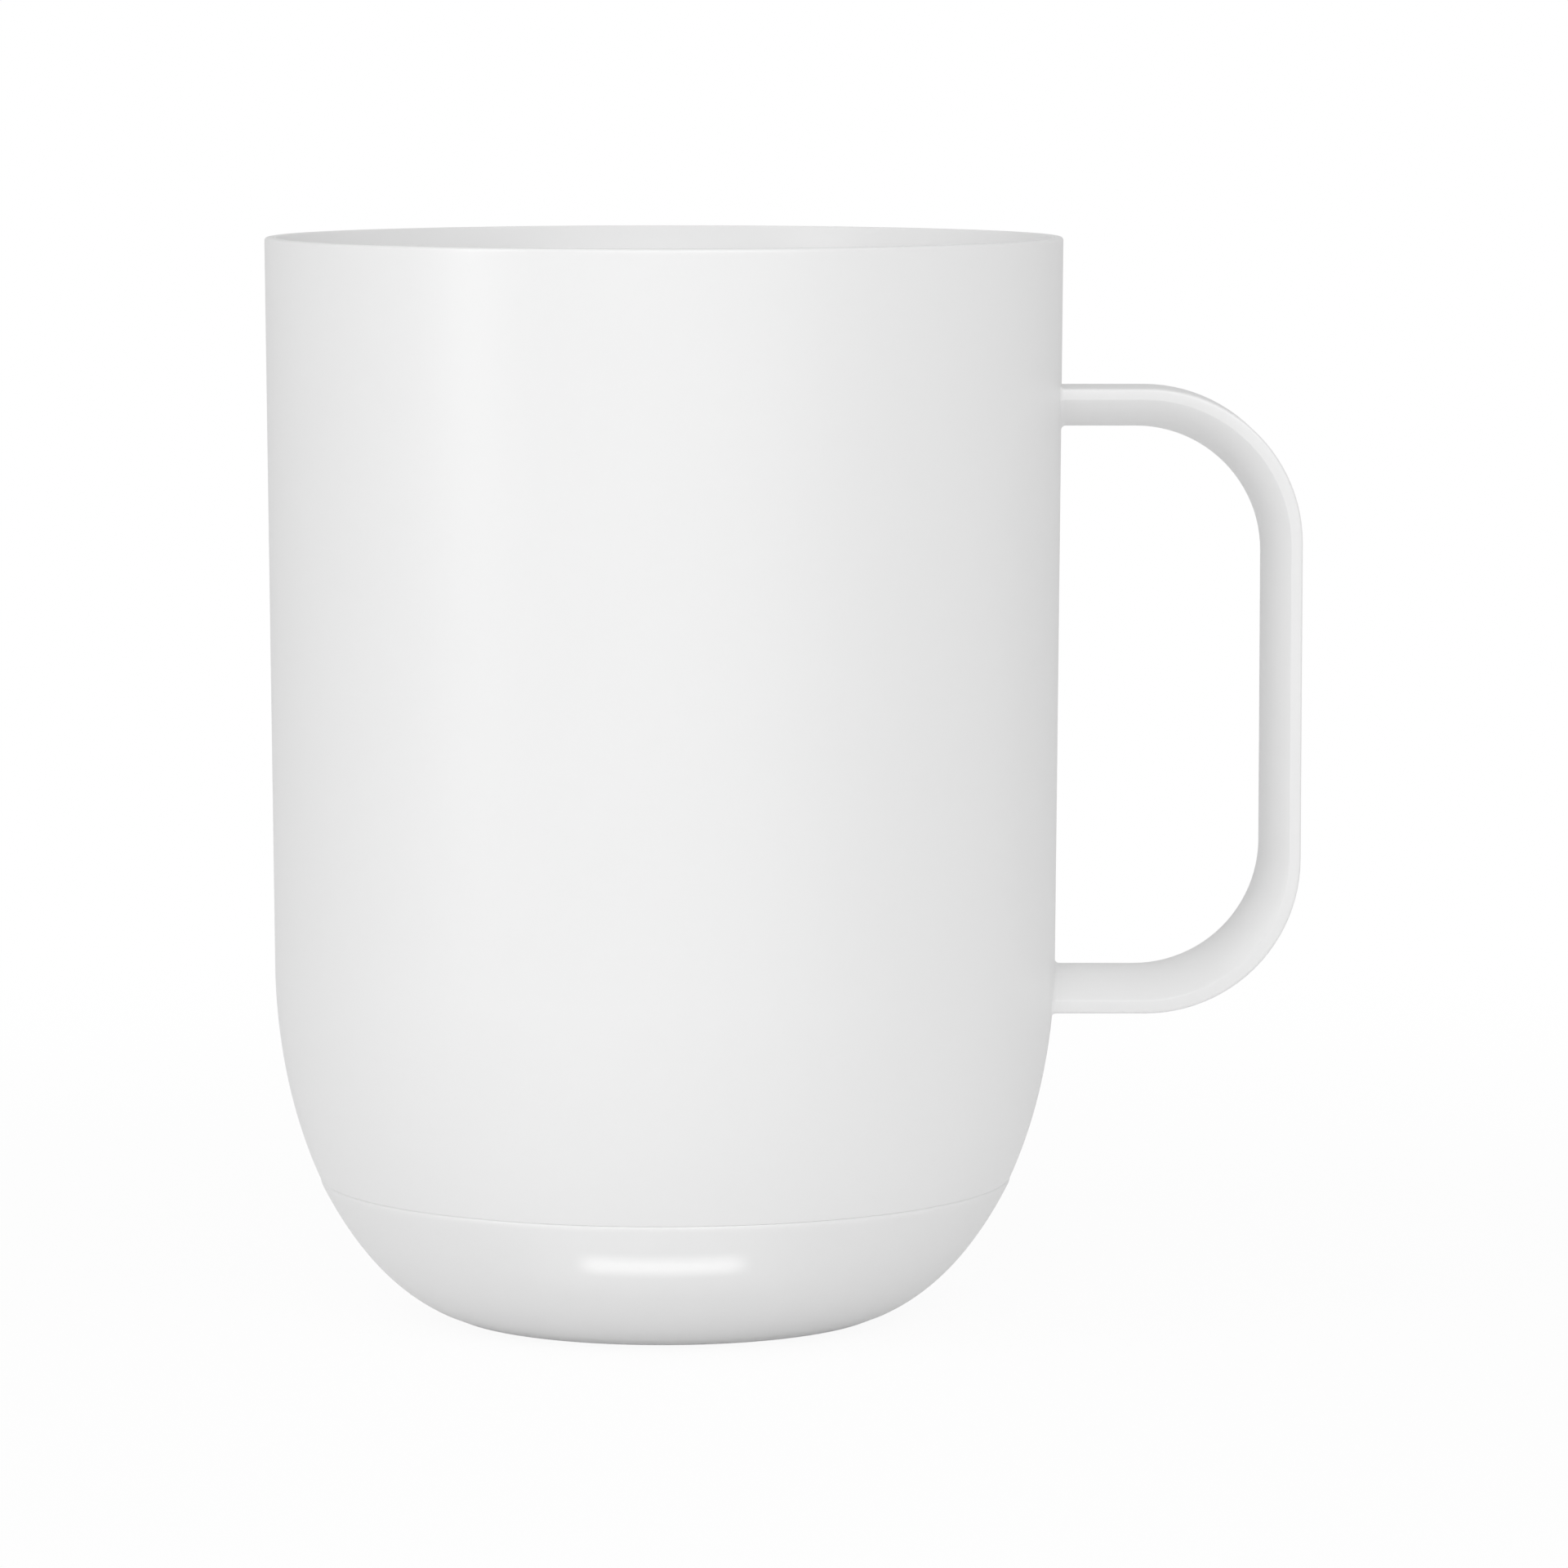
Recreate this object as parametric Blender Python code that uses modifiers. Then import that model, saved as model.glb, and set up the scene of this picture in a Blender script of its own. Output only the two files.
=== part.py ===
"""A self heating mug, modelled as the separate pieces that it comes apart into.

Units are metres and +Z is up. The origin is on the surface that the mug stands on, under the middle of
its width from the far side of the rim to the handle. The handle points along +X and the light in the
base faces -Y. Pieces are drawn about the cup's upright axis, and an empty there moves them all into place.
"""

import math

import bmesh
import bpy
from mathutils import Vector

# Fits, cutters and the distance at which points count as one
CLEARANCE = 0.0003
OVERRUN = 0.0010
WELD_DISTANCE = 0.000005

# Outside form
MUG_HEIGHT = 0.1200
RIM_RADIUS = 0.0440
SIDE_TAPER = 0.00065
CURVE_HEIGHT = 0.0400
CURVE_FOOT_RADIUS = 0.01915
CURVE_UNDERCUT = 0.0004
SIDE_RADIUS = RIM_RADIUS - SIDE_TAPER
CURVE_REACH = SIDE_RADIUS - CURVE_FOOT_RADIUS

# Outer shell
SHELL_WALL = 0.0010
RIM_ROUND = 0.0011
SHELL_EDGE = 0.0003
SHOULDER_HEIGHT = 0.0030
SHOULDER_SLOPE = 0.0012

# Inner cup
CUP_SPACE = 0.0008
CUP_WALL = 0.0008
CUP_FLOOR = 0.0007
CUP_CORNER = 0.0080
LIP_THICKNESS = 0.0010
LIP_ROUND = 0.0009

# Handle
HANDLE_TOP = 0.1035
HANDLE_BOTTOM = 0.0349
HANDLE_REACH = 0.0703
HANDLE_THICKNESS = 0.00435
HANDLE_DEPTH = 0.0110
HANDLE_BEND = 0.0182
HANDLE_EDGE = 0.0003
HANDLE_SIDE = 0.00115
HANDLE_ROOT = 0.0025

# Base housing
FOOT_STAND = 0.0004
FLOOR_THICKNESS = 0.0030
BASE_WALL = 0.0024
BASE_BEVEL = 0.00035
BASE_LIP = 0.0012
SEAM_GAP = 0.0003
FLOOR_MARGIN = 0.0017
FLOOR_RIB = 0.0014
EDGE_ROUND = 0.0004

# Foot ring and seam gasket
FOOT_THICKNESS = 0.0009
FOOT_WIDTH = 0.0048
GASKET_WIDTH = 0.0010

# Bottom cover and its contacts
COVER_RECESS = 0.0003
COVER_FLANGE = 0.0010
CONTACT_THICKNESS = 0.0005
CONTACT_RECESS = 0.0001
CONTACT_INNER_SHARES = (0.12, 0.34)
CONTACT_OUTER_SHARES = (0.60, 0.84)
PIN_RADIUS = 0.0006
PIN_ANGLES = {"inner": 45, "outer": 135}

# Power button, boot and switch
BUTTON_RADIUS = 0.0045
BUTTON_RECESS = 0.0006
BUTTON_FLANGE = 0.0008
BUTTON_LIP = 0.0004
BUTTON_EDGE = 0.0004
BUTTON_TRAVEL = 0.0006
POST_RADIUS = 0.0015
POST_HEIGHT = 0.0004
BOOT_WALL = 0.0010
SWITCH_SIDE = 0.0060
SWITCH_HEIGHT = 0.0014
PLUNGER_RADIUS = 0.0016

# Main board and what stands on it
BOARD_THICKNESS = 0.0010
BOARD_MARGIN = 0.0042
COMPONENT_SPACE = 0.0039
CHIP_HEIGHT = 0.0009
MODULE_HEIGHT = 0.0022
MODULE_LENGTH = 0.0140
MODULE_WIDTH = 0.0100
CONTROLLER_SIDE = 0.0070
CHARGER_SIDE = 0.0050
TRANSISTOR_LENGTH = 0.0050
TRANSISTOR_WIDTH = 0.0060
INDUCTOR_SIDE = 0.0070
CAPACITOR_RADIUS = 0.0020
CONNECTOR_LENGTH = 0.0042
CONNECTOR_WIDTH = 0.0076
SENSOR_CONNECTOR_WIDTH = 0.0060
PART_BEVEL = 0.0003
MODULE_PLACE_SHARES = (0.00, 0.70)
CONTROLLER_PLACE_SHARES = (0.00, 0.22)
CHARGER_PLACE_SHARES = (-0.34, -0.06)
TRANSISTOR_PLACE_SHARES = ((0.34, -0.05), (0.58, -0.05))
INDUCTOR_PLACE_SHARES = (-0.30, -0.42)
CAPACITOR_PLACE_SHARES = ((0.20, -0.36), (0.40, -0.38), (-0.57, -0.12))
BOARD_SCREW_SHARES = ((-0.62, -0.55), (0.62, -0.55))

# Light
LED_LENGTH = 0.0032
LED_DEPTH = 0.0014
LED_HEIGHT = 0.0010
LED_ANGLES = (-12.5, 0.0, 12.5)
PIPE_HEIGHT = 0.0022
PIPE_HALF_ANGLE = 16.5

# Inner frame and mounting ring
FRAME_THICKNESS = 0.0015
LEG_RADIUS = 0.0026
LEG_ANGLES = (30, 150, 270)
BOSS_RADIUS = 0.0022
FRAME_SCREW_ANGLES = (90, 210, 330)
FRAME_SCREW_INSET = 0.0032
END_WALL = 0.0015
TROUGH_FLOOR = 0.0004
SADDLE_DROP_SHARE = 0.35
CRADLE_WIDTH_SHARE = 0.60
RING_THICKNESS = 0.0020
RING_WIDTH = 0.0085

# Screws
SCREW_RADIUS = 0.0009
SCREW_HEAD_RADIUS = 0.0019
SCREW_HEAD_HEIGHT = 0.0009
SCREW_DRIVE_DEPTH = 0.0005
SCREW_DRIVE_SHARE = 0.55
BASE_SCREW_LENGTH = 0.0060
FRAME_SCREW_LENGTH = 0.0040
BOARD_SCREW_LENGTH = 0.0045

# Cells and their tabs
CELL_RADIUS = 0.00915
CELL_LENGTH = 0.0345
CELL_EDGE = 0.0008
CELL_NUB_RADIUS = 0.0030
CELL_NUB_HEIGHT = 0.0008
CELL_SPACE = 0.0009
TAB_THICKNESS = 0.0003
TAB_HEIGHT = 0.0060
TAB_LENGTH = 0.0080

# Heater stack under the cup
INSULATION_THICKNESS = 0.0022
INSULATION_MARGIN = 0.0035
PLATE_THICKNESS = 0.0006
HEATER_THICKNESS = 0.0003
HEATER_MARGIN = 0.0005
SENSOR_HOLE = 0.0030
SENSOR_RADIUS = 0.0020
SENSOR_HEIGHT = 0.0015
FUSE_RADIUS = 0.0009
FUSE_LENGTH = 0.0070
FUSE_PLACE_SHARE = 0.72
CELL_SENSOR_RADIUS = 0.0013
CELL_SENSOR_LENGTH = 0.0040
CELL_SENSOR_SHARE = -0.45

# Leads
LEAD_RADIUS = 0.0006
SENSOR_LEAD_RADIUS = 0.0005
LEAD_SPACING = 0.0013
SENSOR_LEAD_SPACING = 0.0009
LEAD_HOLE = 0.0028
SENSOR_LEAD_HOLE = 0.0020
TAB_LEAD_OFFSET = 0.0060
LEAD_INSET = 0.0030
SENSOR_CONNECTOR_DROP = 0.0085

# Smoothness of round pieces
ROUND_STEPS = 48
MIDDLE_STEPS = 32
SMALL_STEPS = 24
SCREW_STEPS = 12
LEAD_STEPS = 2
CURVE_STEPS = 6
INSIDE_STEPS = 4
ARC_STEPS = 4
SECTION_STEPS = 10
SHARP_DEGREES = 35

# Heights, each worked out from the piece below it
FLOOR_BOTTOM = FOOT_STAND
FLOOR_TOP = FLOOR_BOTTOM + FLOOR_THICKNESS
GROOVE_TOP = FOOT_THICKNESS + CLEARANCE
COVER_BOTTOM = FLOOR_BOTTOM + COVER_RECESS
COVER_FLANGE_BOTTOM = FLOOR_TOP + CLEARANCE
COVER_TOP = COVER_FLANGE_BOTTOM + COVER_FLANGE
CONTACT_BOTTOM = COVER_BOTTOM - CONTACT_RECESS
CONTACT_TOP = CONTACT_BOTTOM + CONTACT_THICKNESS
BUTTON_BOTTOM = COVER_BOTTOM + BUTTON_RECESS
BUTTON_FLANGE_BOTTOM = COVER_TOP + CLEARANCE
BUTTON_FLANGE_TOP = BUTTON_FLANGE_BOTTOM + BUTTON_FLANGE
POST_TOP = BUTTON_FLANGE_TOP + POST_HEIGHT
PLUNGER_BOTTOM = POST_TOP + CLEARANCE
SWITCH_BOTTOM = PLUNGER_BOTTOM + BUTTON_TRAVEL + CLEARANCE
SWITCH_TOP = SWITCH_BOTTOM + SWITCH_HEIGHT
PLUNGER_TOP = SWITCH_TOP - BUTTON_TRAVEL
BOARD_BOTTOM = SWITCH_TOP + CLEARANCE
BOARD_TOP = BOARD_BOTTOM + BOARD_THICKNESS
PART_BOTTOM = BOARD_TOP + CLEARANCE
TALL_PART_HEIGHT = COMPONENT_SPACE - 3 * CLEARANCE
FRAME_BOTTOM = BOARD_TOP + COMPONENT_SPACE
SEAM_HEIGHT = FRAME_BOTTOM + FRAME_THICKNESS
BASE_TOP = SEAM_HEIGHT - SEAM_GAP
REBATE_FLOOR = FRAME_BOTTOM - CLEARANCE
RING_BOTTOM = SEAM_HEIGHT + CLEARANCE
RING_TOP = RING_BOTTOM + RING_THICKNESS
CELL_BOTTOM = SEAM_HEIGHT + TROUGH_FLOOR + CLEARANCE
CELL_CENTRE = CELL_BOTTOM + CELL_RADIUS
CELL_TOP = CELL_CENTRE + CELL_RADIUS
INSULATION_BOTTOM = CELL_TOP + CLEARANCE
INSULATION_TOP = INSULATION_BOTTOM + INSULATION_THICKNESS
PLATE_BOTTOM = INSULATION_TOP + CLEARANCE
PLATE_TOP = PLATE_BOTTOM + PLATE_THICKNESS
HEATER_BOTTOM = PLATE_TOP + CLEARANCE
HEATER_TOP = HEATER_BOTTOM + HEATER_THICKNESS
CUP_BOTTOM = HEATER_TOP + CLEARANCE
CUP_FLOOR_TOP = CUP_BOTTOM + CUP_FLOOR
LIP_BOTTOM = MUG_HEIGHT - LIP_THICKNESS
SHELF_HEIGHT = LIP_BOTTOM - CLEARANCE
LED_CENTRE = PART_BOTTOM + LED_HEIGHT / 2
PIPE_BOTTOM = LED_CENTRE - PIPE_HEIGHT / 2
PIPE_TOP = PIPE_BOTTOM + PIPE_HEIGHT


def side_radius(height):
    """Outer radius of the mug at a height: a straight taper over a quarter of an ellipse."""
    if height >= CURVE_HEIGHT:
        share = (height - CURVE_HEIGHT) / (MUG_HEIGHT - CURVE_HEIGHT)
        return SIDE_RADIUS + SIDE_TAPER * share
    drop = (CURVE_HEIGHT - height) / (CURVE_HEIGHT + CURVE_UNDERCUT)
    return SIDE_RADIUS - CURVE_REACH * (1 - math.sqrt(1 - drop ** 2))


# Where the cup's axis stands, so that the handle and the far side of the rim reach equally far
AXIS_PLACE = (RIM_RADIUS - HANDLE_REACH) / 2

# Radii, each worked out from the piece around it
CUP_RADIUS = SIDE_RADIUS - SHELL_WALL - CUP_SPACE
SHOULDER_RADIUS = CUP_RADIUS + CLEARANCE
RIDGE_RADIUS = RIM_RADIUS - RIM_ROUND
LIP_RADIUS = RIDGE_RADIUS - CLEARANCE
BASE_EDGE_RADIUS = side_radius(FLOOR_BOTTOM)
GROOVE_OUTER = BASE_EDGE_RADIUS - FLOOR_MARGIN
FOOT_OUTER = GROOVE_OUTER - CLEARANCE
FOOT_INNER = FOOT_OUTER - FOOT_WIDTH
GROOVE_INNER = FOOT_INNER - CLEARANCE
FLOOR_HOLE = GROOVE_INNER - FLOOR_RIB
COVER_RADIUS = FLOOR_HOLE - CLEARANCE
LEG_CIRCLE = (FOOT_INNER + FOOT_OUTER) / 2
COVER_FLANGE_RADIUS = LEG_CIRCLE - LEG_RADIUS - CLEARANCE
SCREW_HOLE = SCREW_RADIUS + CLEARANCE
HEAD_HOLE = SCREW_HEAD_RADIUS + CLEARANCE
REBATE_RADIUS = side_radius(REBATE_FLOOR) - BASE_LIP
GASKET_OUTER = REBATE_RADIUS - CLEARANCE
GASKET_INNER = GASKET_OUTER - GASKET_WIDTH
FRAME_RADIUS = GASKET_INNER - CLEARANCE
FRAME_SCREW_CIRCLE = FRAME_RADIUS - FRAME_SCREW_INSET
RING_OUTER = side_radius(RING_BOTTOM) - SHELL_WALL - CLEARANCE
RING_INNER = RING_OUTER - RING_WIDTH
BOARD_RADIUS = side_radius(BOARD_BOTTOM) - BASE_WALL - BOARD_MARGIN
BOOT_INNER = SWITCH_SIDE / math.sqrt(2) + CLEARANCE
BOOT_OUTER = BOOT_INNER + BOOT_WALL
BUTTON_FLANGE_RADIUS = BOOT_OUTER + BUTTON_LIP
BUTTON_BORE = BUTTON_RADIUS + CLEARANCE
CUP_FLAT_RADIUS = CUP_RADIUS - CUP_CORNER
HEATER_RADIUS = CUP_FLAT_RADIUS - HEATER_MARGIN
INSULATION_RADIUS = CUP_RADIUS - INSULATION_MARGIN

# Places along the mug's width, worked out from the cells
CELL_OFFSET = CELL_RADIUS + CELL_SPACE / 2
CELL_HALF = (CELL_LENGTH + CELL_NUB_HEIGHT) / 2
TAB_INNER = CELL_HALF + CLEARANCE
TAB_OUTER = TAB_INNER + TAB_THICKNESS
WALL_INNER = TAB_OUTER + CLEARANCE
WALL_OUTER = WALL_INNER + END_WALL
CRADLE_HALF_WIDTH = CELL_OFFSET + CELL_RADIUS * CRADLE_WIDTH_SHARE
SADDLE_TOP = CELL_CENTRE - CELL_RADIUS * SADDLE_DROP_SHARE
CONNECTOR_PLACE = BOARD_RADIUS - LEAD_INSET
SENSOR_CONNECTOR_PLACE = WALL_OUTER + CLEARANCE + SENSOR_LEAD_HOLE
FUSE_PLACE = HEATER_RADIUS * FUSE_PLACE_SHARE
FUSE_CENTRE = PLATE_BOTTOM - CLEARANCE - FUSE_RADIUS
CELL_SENSOR_PLACE = CELL_HALF * CELL_SENSOR_SHARE
CELL_SENSOR_REACH = CELL_RADIUS + CELL_SENSOR_RADIUS + CLEARANCE
CELL_SENSOR_HEIGHT = CELL_CENTRE + math.sqrt(CELL_SENSOR_REACH ** 2 - CELL_OFFSET ** 2)
SENSOR_TOP = CUP_BOTTOM - CLEARANCE
SENSOR_BOTTOM = SENSOR_TOP - SENSOR_HEIGHT
CUP_LEAD_HEIGHT = CELL_TOP - 2 * SENSOR_LEAD_RADIUS - CLEARANCE


# Scene and materials
def clear_scene():
    """Remove every object, so that only the mug is left."""
    for thing in list(bpy.data.objects):
        bpy.data.objects.remove(thing, do_unlink=True)


def new_collection(name):
    """Add a collection to the scene."""
    group = bpy.data.collections.new(name)
    bpy.context.scene.collection.children.link(group)
    return group


def finish(name, colour, roughness, metallic=0.0):
    """Principled material of one colour."""
    material = bpy.data.materials.new(name)
    material.use_nodes = True
    shader = material.node_tree.nodes["Principled BSDF"]
    shader.inputs["Base Color"].default_value = (*colour, 1.0)
    shader.inputs["Roughness"].default_value = roughness
    shader.inputs["Metallic"].default_value = metallic
    material.diffuse_color = (*colour, 1.0)
    return material


def coated_white(name):
    """Satin white coating."""
    return finish(name + "_coating", (0.84, 0.84, 0.84), 0.38)


def white_plastic(name):
    """White moulded plastic."""
    return finish(name + "_plastic", (0.80, 0.80, 0.79), 0.45)


def grey_plastic(name):
    """Mid grey moulded plastic."""
    return finish(name + "_plastic", (0.30, 0.31, 0.32), 0.50)


def black_plastic(name):
    """Black moulded plastic or resin."""
    return finish(name + "_plastic", (0.025, 0.025, 0.028), 0.42)


def soft_rubber(name):
    """Light grey silicone rubber."""
    return finish(name + "_rubber", (0.55, 0.55, 0.54), 0.70)


def steel(name):
    """Plain steel."""
    return finish(name + "_steel", (0.62, 0.62, 0.63), 0.30, 1.0)


def gold(name):
    """Gold plated contact."""
    return finish(name + "_gold", (0.83, 0.62, 0.28), 0.25, 1.0)


def board_green(name):
    """Dark green circuit board."""
    return finish(name + "_board", (0.02, 0.16, 0.07), 0.45)


def lead_cover(name, colour):
    """Soft insulation of a lead."""
    return finish(name + "_cover", colour, 0.55)


# Making and combining pieces
def add_object(name, mesh, material, group):
    """Put a mesh in the scene as a named object."""
    piece = bpy.data.objects.new(name, mesh)
    group.objects.link(piece)
    if material is not None:
        mesh.materials.append(material)
    return piece


def make_cutter(piece):
    """Mark an object as a guide that isn't a piece of the mug."""
    piece.hide_render = True
    piece.display_type = 'WIRE'
    return piece


def smooth(mesh):
    """Shade a mesh smooth except at its sharp edges."""
    mesh.shade_smooth()
    mesh.set_sharp_from_angle(angle=math.radians(SHARP_DEGREES))


def turned(name, outline, material, group, steps=ROUND_STEPS, centre=(0, 0)):
    """Turn an outline of (radius, height) points round the vertical line through centre.

    An outline that starts and ends on the axis is left open, and any other is closed.
    """
    mesh = bpy.data.meshes.new(name)
    points = [(radius, 0, height) for radius, height in outline]
    edges = [(index, index + 1) for index in range(len(points) - 1)]
    if outline[0][0] > 0:
        edges.append((len(points) - 1, 0))
    mesh.from_pydata(points, edges, [])
    piece = add_object(name, mesh, material, group)
    piece.location = (centre[0], centre[1], 0)
    turn = piece.modifiers.new("turn", 'SCREW')
    turn.angle = 2 * math.pi
    turn.steps = steps
    turn.render_steps = steps
    turn.use_merge_vertices = True
    turn.merge_threshold = WELD_DISTANCE
    turn.use_smooth_shade = True
    return piece


def rod(name, radius, low, high, centre, material, group, steps=SMALL_STEPS):
    """Upright cylinder between two heights."""
    work = bmesh.new()
    depth = high - low
    bmesh.ops.create_cone(work, cap_ends=True, segments=steps, radius1=radius, radius2=radius, depth=depth)
    mesh = bpy.data.meshes.new(name)
    work.to_mesh(mesh)
    work.free()
    smooth(mesh)
    piece = add_object(name, mesh, material, group)
    piece.location = (centre[0], centre[1], (low + high) / 2)
    return piece


def bar(name, radius, length, centre, material, group, steps=SMALL_STEPS):
    """Cylinder that lies along X."""
    piece = rod(name, radius, -length / 2, length / 2, (0, 0), material, group, steps)
    piece.location = centre
    piece.rotation_euler = (0, math.pi / 2, 0)
    return piece


def block(name, size, centre, material, group, bevel=0):
    """Box of a size about its centre, with bevelled edges if asked."""
    work = bmesh.new()
    bmesh.ops.create_cube(work, size=1)
    bmesh.ops.scale(work, vec=Vector(size), verts=work.verts)
    mesh = bpy.data.meshes.new(name)
    work.to_mesh(mesh)
    work.free()
    piece = add_object(name, mesh, material, group)
    piece.location = centre
    if bevel > 0:
        soften = piece.modifiers.new("soften", 'BEVEL')
        soften.width = bevel
        soften.segments = 1
    return piece


def combine(piece, other, operation):
    """Boolean of one object with another."""
    step = piece.modifiers.new(operation.lower(), 'BOOLEAN')
    step.operation = operation
    step.solver = 'EXACT'
    step.object = other


def cut(piece, cutters):
    """Cut each cutter out of a piece."""
    for cutter in cutters:
        combine(piece, cutter, 'DIFFERENCE')


def join(piece, others):
    """Add each shape to a piece."""
    for other in others:
        combine(piece, other, 'UNION')


def curve_path(name, points, group):
    """Straight-sided curve object through points."""
    curve = bpy.data.curves.new(name, 'CURVE')
    curve.dimensions = '3D'
    curve.use_fill_caps = True
    spline = curve.splines.new('POLY')
    spline.points.add(len(points) - 1)
    for spot, point in zip(spline.points, points):
        spot.co = (*point, 1)
    path = bpy.data.objects.new(name, curve)
    group.objects.link(path)
    return path


def lead(name, points, radius, colour, group):
    """Round insulated wire along a smooth line through its own points."""
    path = curve_path(name, smooth_line(points), group)
    path.data.bevel_depth = radius
    path.data.bevel_resolution = LEAD_STEPS
    path.data.materials.append(lead_cover(name, colour))
    return path


def smooth_line(points, parts=3):
    """Points read from a smooth curve that passes through the given ones."""
    spots = [Vector(point) for point in points]
    padded = [2 * spots[0] - spots[1]] + spots + [2 * spots[-1] - spots[-2]]
    line = []
    for four in zip(padded, padded[1:], padded[2:], padded[3:]):
        line += [between(four, part / parts) for part in range(parts)]
    line.append(spots[-1])
    return line


def between(spots, share):
    """Point of a centripetal Catmull-Rom curve, a share of the way from its second spot to its third."""
    knots = [0]
    for first, second in zip(spots, spots[1:]):
        knots.append(knots[-1] + math.sqrt((second - first).length))
    place = knots[1] + (knots[2] - knots[1]) * share
    layer = list(spots)
    spans = ((0, 1), (1, 2), (2, 3)), ((0, 2), (1, 3)), ((1, 2),)
    for level in spans:
        layer = [layer[index] + (layer[index + 1] - layer[index])
                 * ((place - knots[start]) / (knots[end] - knots[start]))
                 for index, (start, end) in enumerate(level)]
    return layer[0]


def on_circle(radius, degrees):
    """Point of a circle about the axis."""
    angle = math.radians(degrees)
    return (radius * math.cos(angle), radius * math.sin(angle))


def arc(centre, radius, start, end, steps=ARC_STEPS):
    """Points of an arc, with its angles in degrees."""
    points = []
    for index in range(steps + 1):
        angle = math.radians(start + (end - start) * index / steps)
        points.append((centre[0] + radius * math.cos(angle), centre[1] + radius * math.sin(angle)))
    return points


def side_points(high, low, inset, steps=CURVE_STEPS):
    """Points down the curved side, a set distance inside it, closer together near the bottom."""
    span = CURVE_HEIGHT + CURVE_UNDERCUT
    first = math.asin((CURVE_HEIGHT - high) / span)
    last = math.asin((CURVE_HEIGHT - low) / span)
    points = []
    for index in range(steps + 1):
        height = CURVE_HEIGHT - span * math.sin(first + (last - first) * index / steps)
        points.append((side_radius(height) - inset, height))
    return points


# Outer shell, inner cup and handle
def make_outer_shell(group):
    """Coated steel sleeve with a rounded rim and a shelf for the cup's lip."""
    shoulder = SHELF_HEIGHT - SHOULDER_HEIGHT
    outline = arc((RIDGE_RADIUS, MUG_HEIGHT - RIM_ROUND), RIM_ROUND, 90, 0)
    outline += side_points(CURVE_HEIGHT, SEAM_HEIGHT + SHELL_EDGE, 0)
    outline.append((side_radius(SEAM_HEIGHT) - SHELL_EDGE, SEAM_HEIGHT))
    outline += reversed(side_points(CURVE_HEIGHT, SEAM_HEIGHT, SHELL_WALL, INSIDE_STEPS))
    outline.append((side_radius(shoulder) - SHELL_WALL, shoulder))
    outline.append((SHOULDER_RADIUS, shoulder + SHOULDER_SLOPE))
    outline.append((SHOULDER_RADIUS, SHELF_HEIGHT))
    outline.append((RIDGE_RADIUS, SHELF_HEIGHT))
    return turned("outer_shell", outline, coated_white("outer_shell"), group)


def make_inner_cup(group):
    """Steel liner with a rounded floor corner and a turned lip."""
    inside = CUP_RADIUS - CUP_WALL
    corner = CUP_CORNER - CUP_WALL
    inner_corner = arc((inside - corner, CUP_FLOOR_TOP + corner), corner, -90, 0)
    outer_corner = arc((CUP_FLAT_RADIUS, CUP_BOTTOM + CUP_CORNER), CUP_CORNER, 0, -90)
    outline = [(0, CUP_FLOOR_TOP)] + inner_corner
    outline += arc((inside + LIP_ROUND, MUG_HEIGHT - LIP_ROUND), LIP_ROUND, 180, 90)
    outline.append((LIP_RADIUS, MUG_HEIGHT))
    outline.append((LIP_RADIUS, LIP_BOTTOM))
    outline.append((CUP_RADIUS, LIP_BOTTOM))
    outline += outer_corner
    outline.append((0, CUP_BOTTOM))
    return turned("inner_cup", outline, coated_white("inner_cup"), group)


def handle_line():
    """Middle line of the handle's bar, from the upper root to the lower one."""
    half = HANDLE_THICKNESS / 2
    bend = HANDLE_BEND - half
    root = side_radius(HANDLE_BOTTOM) - HANDLE_ROOT
    bend_centre = HANDLE_REACH - HANDLE_BEND
    line = [(root, HANDLE_TOP - half)]
    line += arc((bend_centre, HANDLE_TOP - HANDLE_BEND), bend, 90, 0, 2 * ARC_STEPS)
    line += arc((bend_centre, HANDLE_BOTTOM + HANDLE_BEND), bend, 0, -90, 2 * ARC_STEPS)
    line.append((root, HANDLE_BOTTOM + half))
    return [(x, 0, z) for x, z in line]


def handle_section():
    """D-shaped outline of the bar: a flat outer face, narrow sides and an arched inner side."""
    half_depth = HANDLE_DEPTH / 2
    outer = HANDLE_THICKNESS / 2
    crease = outer - HANDLE_EDGE - HANDLE_SIDE
    belly = crease + outer
    radius = (half_depth ** 2 + belly ** 2) / (2 * belly)
    spread = math.asin(half_depth / radius)
    points = [(half_depth - HANDLE_EDGE, outer), (half_depth, outer - HANDLE_EDGE)]
    for index in range(SECTION_STEPS + 1):
        angle = spread * (1 - 2 * index / SECTION_STEPS)
        points.append((radius * math.sin(angle), radius * (1 - math.cos(angle)) - outer))
    points += [(-half_depth, outer - HANDLE_EDGE), (HANDLE_EDGE - half_depth, outer)]
    return points


def make_handle(group, guides):
    """D-section bar bent to a C, its ends shaped to the shell."""
    section = bpy.data.curves.new("handle_section", 'CURVE')
    section.dimensions = '2D'
    spline = section.splines.new('POLY')
    outline = handle_section()
    spline.points.add(len(outline) - 1)
    for spot, point in zip(spline.points, outline):
        spot.co = (*point, 0, 1)
    spline.use_cyclic_u = True
    section_guide = make_cutter(bpy.data.objects.new("handle_section_guide", section))
    guides.objects.link(section_guide)
    path = curve_path("handle_path", handle_line(), guides)
    path.data.twist_mode = 'MINIMUM'
    path.data.bevel_mode = 'OBJECT'
    path.data.bevel_object = section_guide
    mesh = solid_mesh(path, "handle")
    handle = add_object("handle", mesh, coated_white("handle"), group)
    bpy.data.objects.remove(path, do_unlink=True)
    cut(handle, [make_handle_seat(guides)])
    return handle


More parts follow.
